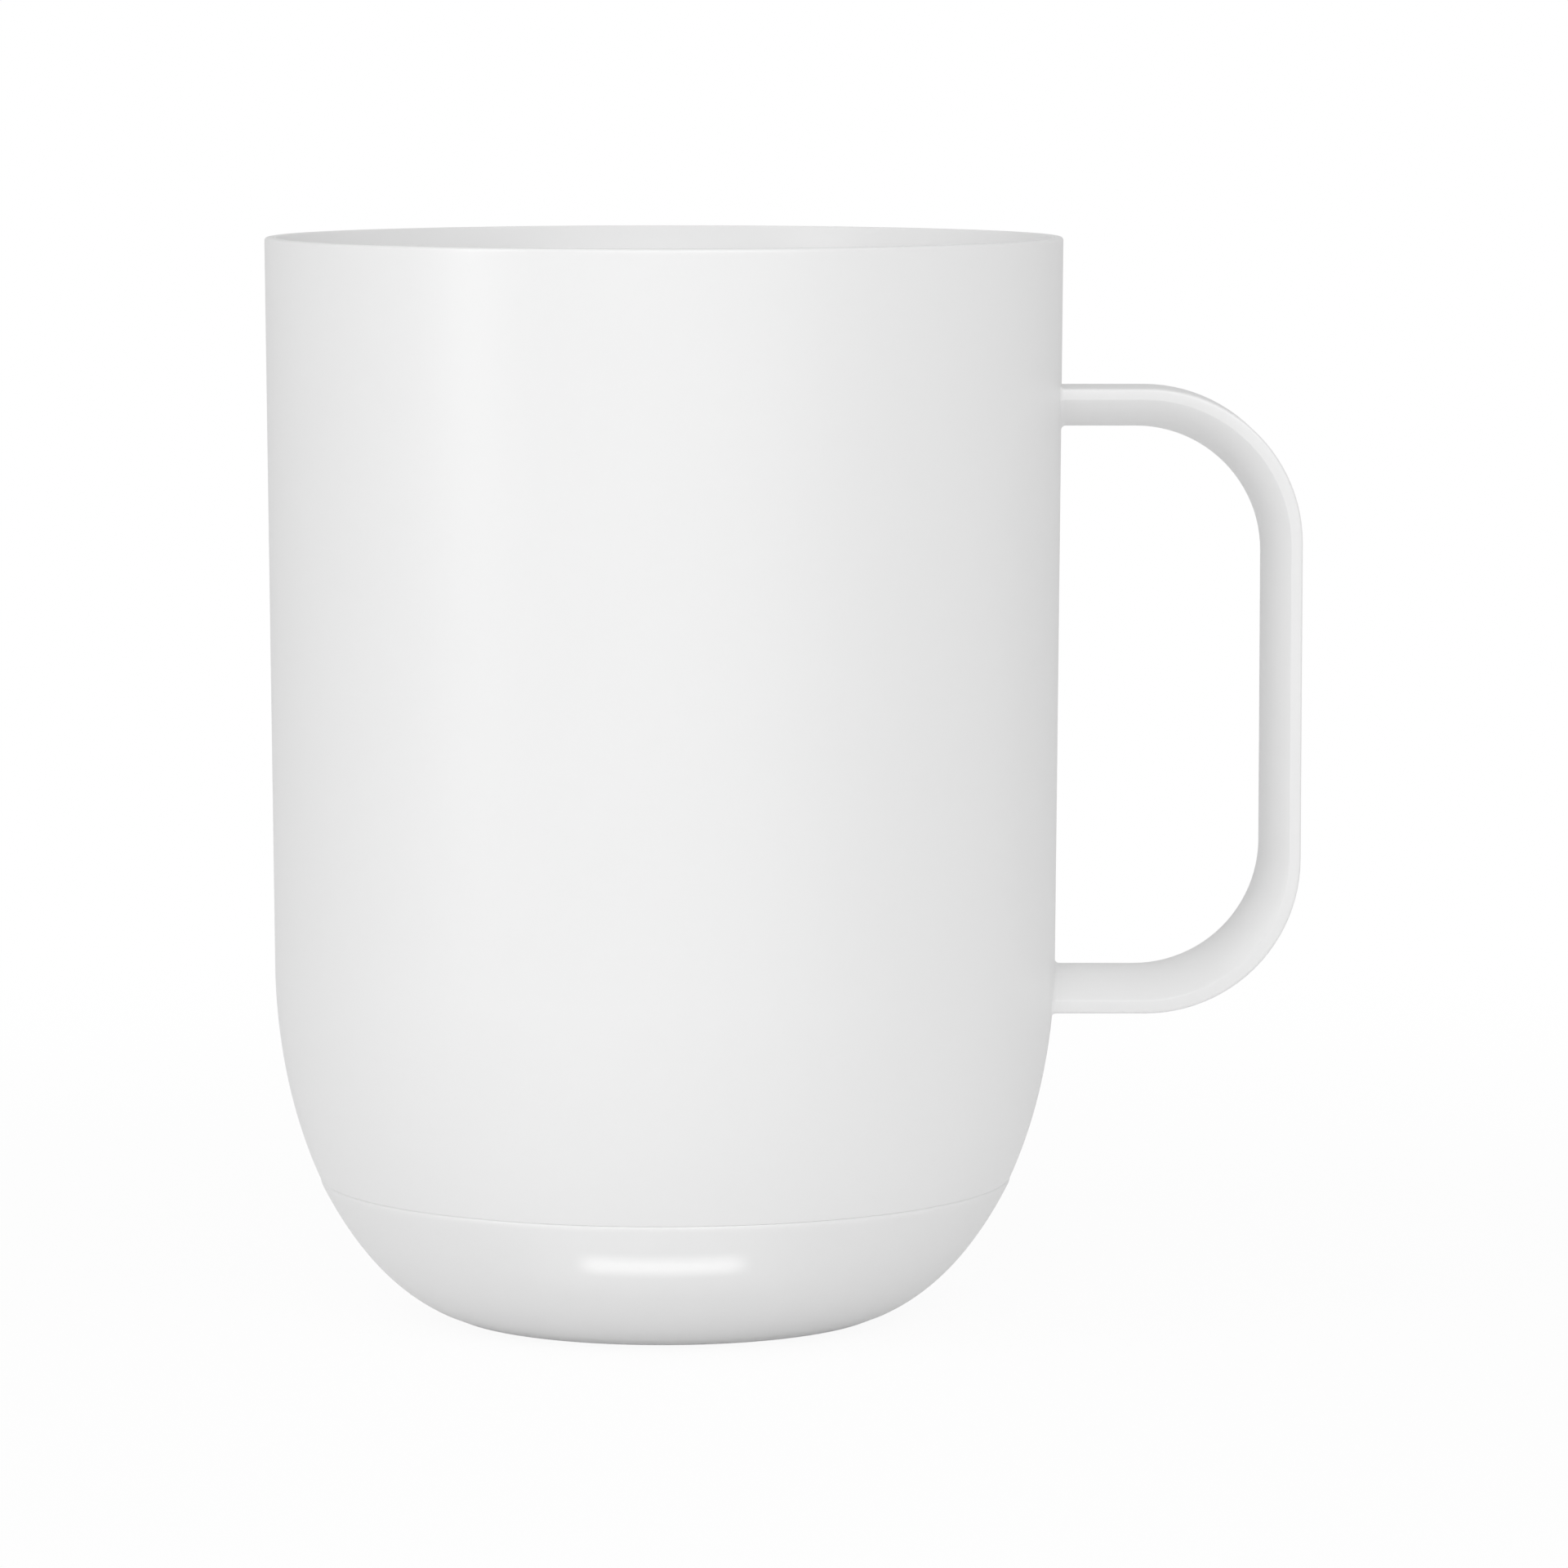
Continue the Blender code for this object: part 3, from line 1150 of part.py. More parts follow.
def hang_on_axis(groups):
    """Parent every piece and guide to an empty on the cup's axis."""
    axis = bpy.data.objects.new("cup_axis", None)
    bpy.context.scene.collection.objects.link(axis)
    axis.location = (AXIS_PLACE, 0, 0)
    for group in groups:
        for thing in group.objects:
            thing.parent = axis


def main():
    """Build every piece of the mug."""
    clear_scene()
    group = new_collection("self_heating_mug")
    guides = new_collection("guides")
    make_outer_shell(group)
    make_inner_cup(group)
    make_handle(group, guides)
    make_base_housing(group, guides)
    make_seam_gasket(group)
    make_foot_ring(group)
    make_bottom_cover(group, guides)
    make_contacts(group)
    make_power_button(group)
    make_button_boot(group)
    make_switch(group, guides)
    make_main_board(group, guides)
    make_chips(group)
    make_capacitors(group)
    make_connectors(group)
    make_light(group, guides)
    make_inner_frame(group, guides)
    make_mounting_ring(group, guides)
    make_screws(group)
    make_cells(group)
    make_tabs(group)
    make_cell_sensor(group)
    make_heater_stack(group, guides)
    make_cup_sensors(group)
    make_heater_leads(group)
    make_battery_leads(group)
    make_sensor_leads(group)
    hang_on_axis((group, guides))


main()
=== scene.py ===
"""The looks of the self heating mug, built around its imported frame.

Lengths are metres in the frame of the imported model. The cup's upright axis stands at AXIS_X, the handle
points along +X and the light in the base faces -Y.
"""

import logging
import math
from collections.abc import Callable, Iterable, Sequence
from dataclasses import dataclass, field
from enum import Enum

import bmesh
import bpy
from mathutils import Matrix, Vector


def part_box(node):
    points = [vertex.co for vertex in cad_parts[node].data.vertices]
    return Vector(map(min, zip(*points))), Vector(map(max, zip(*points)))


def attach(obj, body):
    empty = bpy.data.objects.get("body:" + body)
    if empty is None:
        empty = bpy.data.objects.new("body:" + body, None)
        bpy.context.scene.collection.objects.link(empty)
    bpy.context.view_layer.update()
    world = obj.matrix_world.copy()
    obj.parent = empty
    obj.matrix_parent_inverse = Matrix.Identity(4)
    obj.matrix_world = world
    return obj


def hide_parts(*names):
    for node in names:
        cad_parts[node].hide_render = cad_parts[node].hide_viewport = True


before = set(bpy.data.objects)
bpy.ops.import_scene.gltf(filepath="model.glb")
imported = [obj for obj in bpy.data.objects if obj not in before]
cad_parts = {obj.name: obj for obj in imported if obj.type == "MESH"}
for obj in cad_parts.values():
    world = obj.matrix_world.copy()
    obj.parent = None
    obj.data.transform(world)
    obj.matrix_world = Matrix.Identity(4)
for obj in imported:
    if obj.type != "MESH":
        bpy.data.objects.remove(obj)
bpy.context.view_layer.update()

log = logging.getLogger("self_heating_mug")

Colour = tuple[float, float, float]
Point = tuple[float, float, float]
Corner = tuple[float, float, float]
Place = tuple[float, float]
Pair = tuple[float, float]
MM = 0.001
SHELL_LOW, SHELL_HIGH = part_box("outer_shell")
AXIS_X = (SHELL_LOW[0] + SHELL_HIGH[0]) / 2
AXIS = (AXIS_X, 0.0)
ORIGIN = (0.0, 0.0)
WELD = 0.000001
SHARP_ANGLE = math.radians(40)


class Body(Enum):
    """The bodies that pieces ride on."""

    MUG = "mug_body"
    BUTTON = "button"
    PLUNGER = "plunger"


class Slot(Enum):
    """The record's material slots, by name."""

    COATING = "coated_white"
    PLASTIC = "white_plastic"
    RUBBER = "grey_rubber"
    GOLD = "gold_contact"
    DARK = "black_plastic"
    GREY = "grey_plastic"
    CAN = "aluminium_can"
    STEEL = "steel"
    WRAP = "cell_wrap"
    GREEN = "board_green"


def put(name: str, data: bpy.types.ID) -> bpy.types.Object:
    """Make an object at the origin and put it in the scene."""
    made = bpy.data.objects.new(name, data)
    bpy.context.scene.collection.objects.link(made)
    return made


# Node trees
def operator(operation: str, swapped: bool = False) -> Callable[["Value", "Term"], "Value"]:
    """Return a method that puts a Math node on a value and a term.

    Args:
        operation: what the node works out.
        swapped: whether the term comes first.

    Returns:
        The method.
    """
    def method(value: "Value", other: "Term") -> "Value":
        """Add the node."""
        return value.tree.math(operation, *((other, value) if swapped else (value, other)))

    return method


class Value:
    """The output of a node, which Python expressions can work on."""

    __add__ = __radd__ = operator("ADD")
    __mul__ = __rmul__ = operator("MULTIPLY")
    __sub__, __rsub__ = operator("SUBTRACT"), operator("SUBTRACT", swapped=True)
    __truediv__, __rtruediv__ = operator("DIVIDE"), operator("DIVIDE", swapped=True)
    __gt__, __lt__ = operator("GREATER_THAN"), operator("LESS_THAN")

    def __init__(self, tree: "Tree", socket: bpy.types.NodeSocket) -> None:
        """Keep the tree and the output socket."""
        self.tree = tree
        self.socket = socket

    def __abs__(self) -> "Value":
        """Drop the sign."""
        return self.tree.math("ABSOLUTE", self)


Term = Value | float


class Tree:
    """A node tree with one method that adds any node."""

    def __init__(self, tree: bpy.types.NodeTree) -> None:
        """Keep the tree."""
        self.tree = tree

    def node(self, kind: str, settings: dict | None = None, sockets: dict | None = None) -> bpy.types.Node:
        """Add a node.

        Args:
            kind: the node's type.
            settings: its properties, set first.
            sockets: a value or a link for each input, by name or number.

        Returns:
            The new node.
        """
        made = self.tree.nodes.new(kind)
        for name, setting in (settings or {}).items():
            setattr(made, name, setting)
        for key, term in (sockets or {}).items():
            if isinstance(term, Value):
                self.tree.links.new(term.socket, made.inputs[key])
            else:
                made.inputs[key].default_value = term
        return made

    def value(self, kind: str, settings: dict | None = None, sockets: dict | None = None,
              output: int | str = 0) -> Value:
        """Add a node and return one of its outputs."""
        return Value(self, self.node(kind, settings, sockets).outputs[output])

    def math(self, operation: str, *terms: Term) -> Value:
        """Add a Math node on these terms."""
        return self.value("ShaderNodeMath", {"operation": operation}, dict(enumerate(terms)))

    def split(self, vector: Value) -> tuple[Value, Value, Value]:
        """Return the three components of a vector."""
        made = self.node("ShaderNodeSeparateXYZ", sockets={0: vector})
        return tuple(Value(self, socket) for socket in made.outputs)

    def length(self, x: Value, y: Value) -> Value:
        """Return the length of a flat vector."""
        return self.math("SQRT", x * x + y * y)

    def combine(self, x: Term, y: Term, z: Term) -> Value:
        """Make a vector of three components."""
        return self.value("ShaderNodeCombineXYZ", sockets={0: x, 1: y, 2: z})

    def ease(self, term: Value, low: float, high: float) -> Value:
        """Rise smoothly from 0 where the term is low to 1 where it is high."""
        if low > high:
            return 1 - self.ease(term, high, low)
        settings = {"interpolation_type": "SMOOTHSTEP"}
        return self.value("ShaderNodeMapRange", settings, {"Value": term, "From Min": low, "From Max": high})


# Materials
class Surface(Tree):
    """The shader tree of one material."""

    def __init__(self, name: str, constants: dict[str, object]) -> None:
        """Make the material and set the shader's own sockets.

        Args:
            name: the material's name.
            constants: values that are the same all over, by socket.
        """
        self.material = bpy.data.materials.new(name)
        self.material.use_nodes = True
        super().__init__(self.material.node_tree)
        self.shader = self.tree.nodes["Principled BSDF"]
        for socket, setting in constants.items():
            self.shader.inputs[socket].default_value = setting

    def place(self, centre: Point = (0.0, 0.0, 0.0), scale: Point = (1.0, 1.0, 1.0)) -> Value:
        """Return object coordinates about a centre, stretched if asked."""
        where = self.value("ShaderNodeTexCoord", output="Object")
        start = tuple(-middle * factor for middle, factor in zip(centre, scale))
        return self.value("ShaderNodeMapping", sockets={"Vector": where, "Location": start, "Scale": scale})

    def noise(self, where: Value, size: float, detail: float = 2.0) -> Value:
        """Return noise from 0 to 1 with grains of about a size."""
        return self.value("ShaderNodeTexNoise", {"noise_dimensions": "3D"},
                          {"Vector": where, "Scale": 1 / size, "Detail": detail})

    def cells(self, where: Value, size: float, feature: str = "F1", metric: str = "EUCLIDEAN") -> Value:
        """Return the distance to the nearest of many scattered points."""
        return self.value("ShaderNodeTexVoronoi", {"feature": feature, "distance": metric},
                          {"Vector": where, "Scale": 1 / size}, "Distance")

    def blend(self, share: Term, first: Value | Colour, second: Value | Colour) -> Value:
        """Mix two colours."""
        ends = [end if isinstance(end, Value) else (*end, 1.0) for end in (first, second)]
        return self.value("ShaderNodeMix", {"data_type": "RGBA"}, {0: share, 6: ends[0], 7: ends[1]}, 2)

    def feed(self, socket: str, term: Value) -> None:
        """Link a value to the shader."""
        self.tree.links.new(term.socket, self.shader.inputs[socket])

    def relief(self, height: Value, depth: float) -> None:
        """Raise the surface by a height field of a depth."""
        self.feed("Normal", self.value("ShaderNodeBump", sockets={
            "Height": height, "Distance": depth, "Strength": 1.0}))


def lighter(colour: Colour, factor: float) -> Colour:
    """Multiply a colour by a factor, within 1."""
    return tuple(min(1.0, part * factor) for part in colour)


@dataclass(frozen=True)
class Finish:
    """A surface of one colour with fine grain; other finishes add to it.

    Fields:
        label: the material's name.
        colour: its colour.
        roughness: its roughness.
        grain: size of the grain.
        depth: height of the grain.
        spread: how much the colour and the roughness vary.
        metallic: 1 for metals.
        reflection: how strongly it reflects; 0.5 is common plastic.
        broadness: how many grains wide a patch of one shade is.
    """

    label: str
    colour: Colour
    roughness: float
    grain: float = 0.4 * MM
    depth: float = 0.004 * MM
    spread: float = 0.02
    metallic: float = 0.0
    reflection: float = field(default=0.5, kw_only=True)
    broadness: float = field(default=40.0, kw_only=True)

    def material(self) -> bpy.types.Material:
        """Return the material of this label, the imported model's where it has one, or else make it."""
        known = bpy.data.materials.get(self.label)
        return known or self.build().material

    def build(self) -> Surface:
        """Make the material."""
        surface = Surface(self.label, {"Metallic": self.metallic, "Specular IOR Level": self.reflection})
        where = surface.place()
        broad = surface.noise(where, self.broadness * self.grain)
        fine = surface.noise(where, self.grain, detail=3.0)
        low, high = lighter(self.colour, 1 - self.spread), lighter(self.colour, 1 + self.spread)
        surface.feed("Base Color", surface.blend(broad, low, high))
        surface.feed("Roughness", self.roughness + (fine - 0.5) * (2 * self.spread))
        surface.relief(fine, self.depth)
        return surface


@dataclass(frozen=True)
class Glowing(Finish):
    """A coating with light that shines through its front.

    Fields:
        centre: middle of the lit patch.
        left, right: where the patch starts and ends, each as (dark, lit).
        low, high: its lower and upper edge, each as (dark, lit).
        bow: how far the patch bends up, per squared distance from its middle.
        brightness: how much light it adds.
        halo_side, halo_low, halo_high: where the faint light round the patch ends and starts.
        halo: how much light that adds.
    """

    centre: float = AXIS_X
    left: Pair = (-9.7 * MM, -6.7 * MM)
    right: Pair = (10.3 * MM, 6.9 * MM)
    low: Pair = (9.35 * MM, 10.95 * MM)
    high: Pair = (12.75 * MM, 10.95 * MM)
    bow: float = 2.5
    brightness: float = 0.150
    halo_side: Pair = (19.0 * MM, 6.0 * MM)
    halo_low: Pair = (6.5 * MM, 9.8 * MM)
    halo_high: Pair = (21.0 * MM, 12.0 * MM)
    halo: float = 0.030

    def build(self) -> Surface:
        """Make the material with its lit patch."""
        surface = super().build()
        x, y, z = surface.split(surface.place((self.centre, 0.0, 0.0)))
        level = z - x * x * self.bow
        lit = surface.ease(x, *self.left) * surface.ease(x, *self.right)
        lit = lit * surface.ease(level, *self.low) * surface.ease(level, *self.high)
        halo = surface.ease(abs(x), *self.halo_side)
        halo = halo * surface.ease(level, *self.halo_low) * surface.ease(level, *self.halo_high)
        light = (lit * self.brightness + halo * self.halo) * (y < 0.0)
        glow = surface.blend(light, (0.0, 0.0, 0.0), (1.0, 1.0, 1.0))
        surface.feed("Emission Color", glow)
        surface.shader.inputs["Emission Strength"].default_value = 1.0
        return surface


@dataclass(frozen=True)
class Turned(Finish):
    """Metal turned or rolled round the cup's axis, with fine rings.

    Fields:
        pitch: size of the rings.
        centre: where the axis stands.
        swing: how much the rings change the roughness.
    """

    pitch: float = 0.12 * MM
    centre: Point = (*AXIS, 0.0)
    swing: float = 0.25

    def build(self) -> Surface:
        """Make the material with its rings."""
        surface = super().build()
        x, y, _ = surface.split(surface.place(self.centre))
        where = surface.combine(surface.length(x, y), 0.0, 0.0)
        rings = surface.noise(where, self.pitch, detail=4.0)
        surface.feed("Roughness", self.roughness + (rings - 0.5) * self.swing)
        surface.relief(rings, self.depth)
        return surface


@dataclass(frozen=True)
class Brushed(Finish):
    """Rolled or brushed sheet, its grain drawn out along one axis.

    Fields:
        stretch: 1 along the grain, more across it.
        length: how many grains long a scratch is.
        swing: how much the scratches change the roughness.
    """

    stretch: Point = (1.0, 18.0, 18.0)
    length: float = 18.0
    swing: float = 0.3

    def build(self) -> Surface:
        """Make the material with its drawn grain."""
        surface = super().build()
        grain = surface.noise(surface.place(scale=self.stretch), self.length * self.grain, detail=4.0)
        surface.feed("Roughness", self.roughness + (grain - 0.5) * self.swing)
        surface.relief(grain, self.depth)
        return surface


@dataclass(frozen=True)
class BoardMask(Finish):
    """Solder mask over tracks, with bare pads.

    Fields:
        track, pad: colours of a covered track and of a bare pad.
        pitch: spacing of the straight tracks.
        turns, turn_edge: size in pitches of what the winding tracks go round, and where they start and end.
        line_edge, line_place: where a straight track starts, and how far from the winding ones it stays.
        pad_spacing, pad_edge: spacing of the pads in pitches, and where a pad starts and ends.
        plating, polish: how metallic and how much smoother a pad is.
        height: how high tracks and pads stand.
    """

    track: Colour = (0.03, 0.26, 0.11)
    pad: Colour = (0.80, 0.72, 0.52)
    pitch: float = 1.3 * MM
    turns: float = 2.2
    turn_edge: Pair = (0.12, 0.09)
    line_edge: Pair = (0.36, 0.40)
    line_place: float = 0.30
    pad_spacing: float = 1.7
    pad_edge: Pair = (0.16, 0.13)
    plating: float = 0.9
    polish: float = 0.15
    height: float = 0.02 * MM

    def build(self) -> Surface:
        """Make the material with its tracks and pads."""
        surface = super().build()
        where = surface.place((*AXIS, 0.0))
        x, y, _ = surface.split(where)
        flat = surface.combine(x, y, 0.0)
        size = self.turns * self.pitch
        edges = surface.cells(flat, size, "F2", "CHEBYCHEV") - surface.cells(flat, size, "F1", "CHEBYCHEV")
        across = abs(surface.math("FRACT", x / self.pitch) - 0.5)
        lines = surface.ease(across, *self.line_edge) * (edges > self.line_place)
        tracks = surface.math("MAXIMUM", surface.ease(edges, *self.turn_edge), lines)
        dots = surface.ease(surface.cells(where, self.pad_spacing * self.pitch), *self.pad_edge)
        green = surface.blend(tracks, self.colour, self.track)
        surface.feed("Base Color", surface.blend(dots, green, self.pad))
        surface.feed("Metallic", dots * self.plating)
        surface.feed("Roughness", self.roughness - dots * self.polish)
        surface.relief(tracks + dots, self.height)
        return surface


@dataclass(frozen=True)
class CellWrap(Finish):
    """Shrink wrap on a cell, with bare steel ends and a seam along it.

    Fields:
        steel, polish: the ends' colour, and how much smoother they are.
        centre: the point between the two cells.
        half_length, rim, soft: where the wrap ends, along and across, and how softly.
        offset: distance of each cell's axis from the centre.
        wrinkle, stretch, swing: size of the wrinkles, how long they are and how much they roughen.
        seam, seam_height: how far the seam reaches to each side, as (dark, full), and its height.
        height: height of the wrinkles.
    """

    steel: Colour = (0.62, 0.62, 0.63)
    polish: float = 0.05
    centre: Point = (*AXIS, 25.35 * MM)
    half_length: float = 16.3 * MM
    rim: float = 7.4 * MM
    soft: float = 0.1 * MM
    offset: float = 9.6 * MM
    wrinkle: float = 9.0 * MM
    stretch: Point = (1.0, 5.0, 5.0)
    swing: float = 0.1
    seam: Pair = (0.5 * MM, 0.35 * MM)
    seam_height: float = 0.3
    height: float = 0.12 * MM

    def build(self) -> Surface:
        """Make the material with its ends and its seam."""
        surface = super().build()
        x, y, z = surface.split(surface.place(self.centre))
        side = abs(y) - self.offset
        across = surface.length(side, z)
        bare = (abs(x) > self.half_length) * surface.ease(across, self.rim, self.rim - self.soft)
        wrinkles = surface.noise(surface.place(scale=self.stretch), self.wrinkle)
        seam = surface.ease(abs(side), *self.seam) * (z > 0.0)
        surface.feed("Base Color", surface.blend(bare, self.colour, self.steel))
        surface.feed("Metallic", bare)
        surface.feed("Roughness", self.roughness + (wrinkles - 0.5) * self.swing - bare * self.polish)
        surface.relief(wrinkles + seam * self.seam_height, self.height)
        return surface


@dataclass(frozen=True)
class Felt(Finish):
    """Pressed fibres.

    Fields:
        shade: how dark the colour is between fibres; this is painted shade in the hollows of the fibres'
            relief.
        clump, clump_height: how many grains wide a clump is, and its height next to a fibre's.
    """

    shade: float = 0.82
    clump: float = 4.0
    clump_height: float = 0.4

    def build(self) -> Surface:
        """Make the material with its fibres."""
        surface = super().build()
        where = surface.place()
        fibres = surface.noise(where, self.grain, detail=6.0)
        clumps = surface.cells(where, self.clump * self.grain)
        # Painted shade: the colour darkens where the fibres' relief is low, in its hollows.
        surface.feed("Base Color", surface.blend(fibres, lighter(self.colour, self.shade), self.colour))
        surface.relief(fibres + clumps * self.clump_height, self.depth)
        return surface


@dataclass(frozen=True)
class HeaterTrack(Finish):
    """Amber film with an etched metal track that winds round it.

    Fields:
        track: the track's colour.
        pitch, edge: spacing of the turns, and where a turn starts and ends in it.
        reach, hub: the outer and the inner end of the turns.
        gap: half the space between the two halves of the turns.
        feeder, feeder_half: distance of each feeder from the middle, and half its width.
        plating: how metallic the track is.
        height: how high it stands.
    """

    track: Colour = (0.50, 0.42, 0.36)
    pitch: float = 2.4 * MM
    edge: Pair = (0.20, 0.17)
    reach: float = 31.0 * MM
    hub: float = 4.0 * MM
    gap: float = 0.6 * MM
    feeder: float = 1.0 * MM
    feeder_half: float = 0.4 * MM
    plating: float = 0.7
    height: float = 0.03 * MM

    def build(self) -> Surface:
        """Make the material with its winding track."""
        surface = super().build()
        x, y, _ = surface.split(surface.place((*AXIS, 0.0)))
        distance = surface.length(x, y)
        wave = abs(surface.math("FRACT", distance / self.pitch) - 0.5)
        inside = distance < self.reach
        turns = surface.ease(wave, *self.edge) * inside * (distance > self.hub) * (abs(y) > self.gap)
        feeders = (abs(abs(y) - self.feeder) < self.feeder_half) * inside
        track = surface.math("MAXIMUM", turns, feeders)
        surface.feed("Base Color", surface.blend(track, self.colour, self.track))
        surface.feed("Metallic", track * self.plating)
        surface.relief(track, self.height)
        return surface


@dataclass(frozen=True)
class Lit(Finish):
    """A part that shines by itself.

    Fields:
        strength: how much light it gives.
        lens: size of the brighter spots.
        core, rim: colours in a spot's middle and round it.
        reach: how far a spot reaches, as a share of its size.
    """

    strength: float = 1.0
    lens: float = 0.6 * MM
    core: Colour = (1.0, 1.0, 1.0)
    rim: Colour = (0.75, 0.78, 0.85)
    reach: float = 0.8

    def build(self) -> Surface:
        """Make the material with its light."""
        surface = super().build()
        spots = surface.cells(surface.place(), 2 * self.lens)
        glow = surface.blend(surface.ease(spots, 0.0, self.reach), self.core, self.rim)
        surface.feed("Emission Color", glow)
        surface.shader.inputs["Emission Strength"].default_value = self.strength
        return surface


# Known fault: grey_rubber, cell_wrap, amber_film, red_lead, black_lead, pale_lead, light_guide and lit_diode
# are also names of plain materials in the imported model. Finish.material() returns those, so these eight
# finishes aren't built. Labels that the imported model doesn't use would bring them in.
COATING = Finish("satin_coating", (0.835, 0.835, 0.835), 0.32, 0.45 * MM, 0.0030 * MM, 0.006,
                 reflection=1.0)
BASE_COATING = Glowing("glowing_base", (0.82, 0.82, 0.82), 0.36, 0.45 * MM, 0.0030 * MM, 0.006,
                       reflection=1.0)
LINING = Finish("cup_lining", (0.845, 0.845, 0.845), 0.32, 0.45 * MM, 0.0030 * MM, 0.006)
COVER_PLASTIC = Finish("cover_plastic", (0.80, 0.80, 0.795), 0.48, 0.25 * MM, 0.008 * MM, 0.012)
CONNECTOR_PLASTIC = Finish("connector_plastic", (0.78, 0.77, 0.72), 0.45, 0.3 * MM, 0.004 * MM, 0.02)
RUBBER = Finish("grey_rubber", (0.50, 0.50, 0.49), 0.72, 0.3 * MM, 0.012 * MM, 0.03)
GOLD = Turned("turned_gold", (0.86, 0.64, 0.30), 0.26, 0.3 * MM, 0.004 * MM, 0.03, 1.0)
DARK_RESIN = Finish("dark_resin", (0.026, 0.026, 0.029), 0.46, 0.12 * MM, 0.006 * MM, 0.08)
FRAME_PLASTIC = Finish("frame_plastic", (0.30, 0.31, 0.32), 0.52, 0.35 * MM, 0.012 * MM, 0.03)
SHEET_STEEL = Brushed("brushed_steel", (0.62, 0.62, 0.63), 0.34, 0.1 * MM, 0.004 * MM, 0.03, 1.0)
SCREW_STEEL = Finish("plated_steel", (0.66, 0.66, 0.66), 0.28, 0.15 * MM, 0.003 * MM, 0.04, 1.0)
CAN_METAL = Brushed("can_metal", (0.70, 0.70, 0.71), 0.32, 0.08 * MM, 0.003 * MM, 0.03, 1.0,
                    stretch=(18.0, 18.0, 1.0))
MASK_GREEN = BoardMask("board_mask", (0.018, 0.15, 0.065), 0.38, 0.3 * MM, 0.003 * MM, 0.04)
WRAP = CellWrap("cell_wrap", (0.045, 0.12, 0.30), 0.36, 0.6 * MM, 0.01 * MM, 0.03)
FELT = Felt("insulation_felt", (0.78, 0.75, 0.68), 0.92, 0.35 * MM, 0.08 * MM, 0.03)
FILM = HeaterTrack("amber_film", (0.72, 0.34, 0.05), 0.28, 0.5 * MM, 0.002 * MM, 0.03)
RED_LEAD = Finish("red_lead", (0.60, 0.05, 0.04), 0.50, 0.25 * MM, 0.005 * MM, 0.05)
BLACK_LEAD = Finish("black_lead", (0.03, 0.03, 0.032), 0.48, 0.25 * MM, 0.005 * MM, 0.05)
PALE_LEAD = Finish("pale_lead", (0.75, 0.75, 0.72), 0.50, 0.25 * MM, 0.005 * MM, 0.04)
FERRITE = Finish("ferrite", (0.11, 0.11, 0.115), 0.60, 0.2 * MM, 0.02 * MM, 0.10)
CERAMIC = Finish("ceramic", (0.46, 0.36, 0.24), 0.48, 0.15 * MM, 0.004 * MM, 0.06)
TIN = Finish("tinned_ends", (0.70, 0.70, 0.71), 0.30, 0.12 * MM, 0.006 * MM, 0.05, 1.0)
GUIDE = Lit("light_guide", (0.90, 0.91, 0.92), 0.30, 0.5 * MM, 0.002 * MM, 0.02, strength=0.35)
DIODE = Lit("lit_diode", (0.95, 0.93, 0.80), 0.30, 0.3 * MM, 0.002 * MM, 0.02, strength=2.5)


# Outlines
def rounded(corners: Sequence[Corner], closed: bool, steps: int = 5) -> list[Place]:
    """Replace the corners of an outline by arcs.

    Args:
        corners: (across, up, fillet) for each corner.
        closed: whether the last corner joins the first.
        steps: pieces in each arc.

    Returns:
        The points of the rounded outline.
    """
    count = len(corners)
    points: list[Place] = []
    for index, (across, up, fillet) in enumerate(corners):
        here = Vector((across, up))
        inner = closed or 0 < index < count - 1
        if fillet <= 0 or not inner:
            points.append((across, up))
            continue
        before = Vector(corners[index - 1][:2]) - here
        after = Vector(corners[(index + 1) % count][:2]) - here
        half = before.angle(after) / 2
        middle = (before.normalized() + after.normalized()).normalized()
        centre = here + middle * (fillet / math.sin(half))
        start = here + before.normalized() * (fillet / math.tan(half)) - centre
        end = here + after.normalized() * (fillet / math.tan(half)) - centre
        swing = math.atan2(start.x * end.y - start.y * end.x, start.dot(end))
        for step in range(steps + 1):
            spot = centre + Matrix.Rotation(swing * step / steps, 2) @ start
            points.append((spot.x, spot.y))
    return points


@dataclass(frozen=True)
class SideLaw:
    """The mug's outer side: a straight taper over a quarter of an ellipse."""

    rim_radius: float = 44.0 * MM
    taper: float = 0.65 * MM
    height: float = 120.0 * MM
    curve_height: float = 40.0 * MM
    foot_radius: float = 19.15 * MM
    undercut: float = 0.4 * MM

    @property
    def side_radius(self) -> float:
        """Radius where the taper meets the curve."""
        return self.rim_radius - self.taper

    def radius(self, height: float) -> float:
        """Return the outer radius at a height."""
        if height >= self.curve_height:
            share = (height - self.curve_height) / (self.height - self.curve_height)
            return self.side_radius + self.taper * share
        drop = (self.curve_height - height) / (self.curve_height + self.undercut)
        return self.side_radius - (self.side_radius - self.foot_radius) * (1 - math.sqrt(1 - drop ** 2))

    def rows(self, inset: float, high: float, low: float, steps: int) -> list[Corner]:
        """Return points down the side, closer together near the bottom.

        Args:
            inset: distance inside the outer side.
            high: height of the first point.
            low: height of the last point.
            steps: spaces between the points.

        Returns:
            Unrounded corners.
        """
        span = self.curve_height + self.undercut
        first = math.asin(max(0.0, self.curve_height - high) / span)
        last = math.asin((self.curve_height - low) / span)
        heights = [self.curve_height - span * math.sin(first + (last - first) * step / steps)
                   for step in range(steps + 1)]
        if high > self.curve_height:
            heights.insert(0, high)
        return [(self.radius(height) - inset, height, 0.0) for height in heights]

    def inputs(self) -> dict[str, float]:
        """Return the named inputs of the turning tree."""
        return {"Rim Radius": self.rim_radius, "Taper": self.taper, "Height": self.height,
                "Curve Height": self.curve_height, "Foot Radius": self.foot_radius,
                "Undercut": self.undercut}


SIDE = SideLaw()


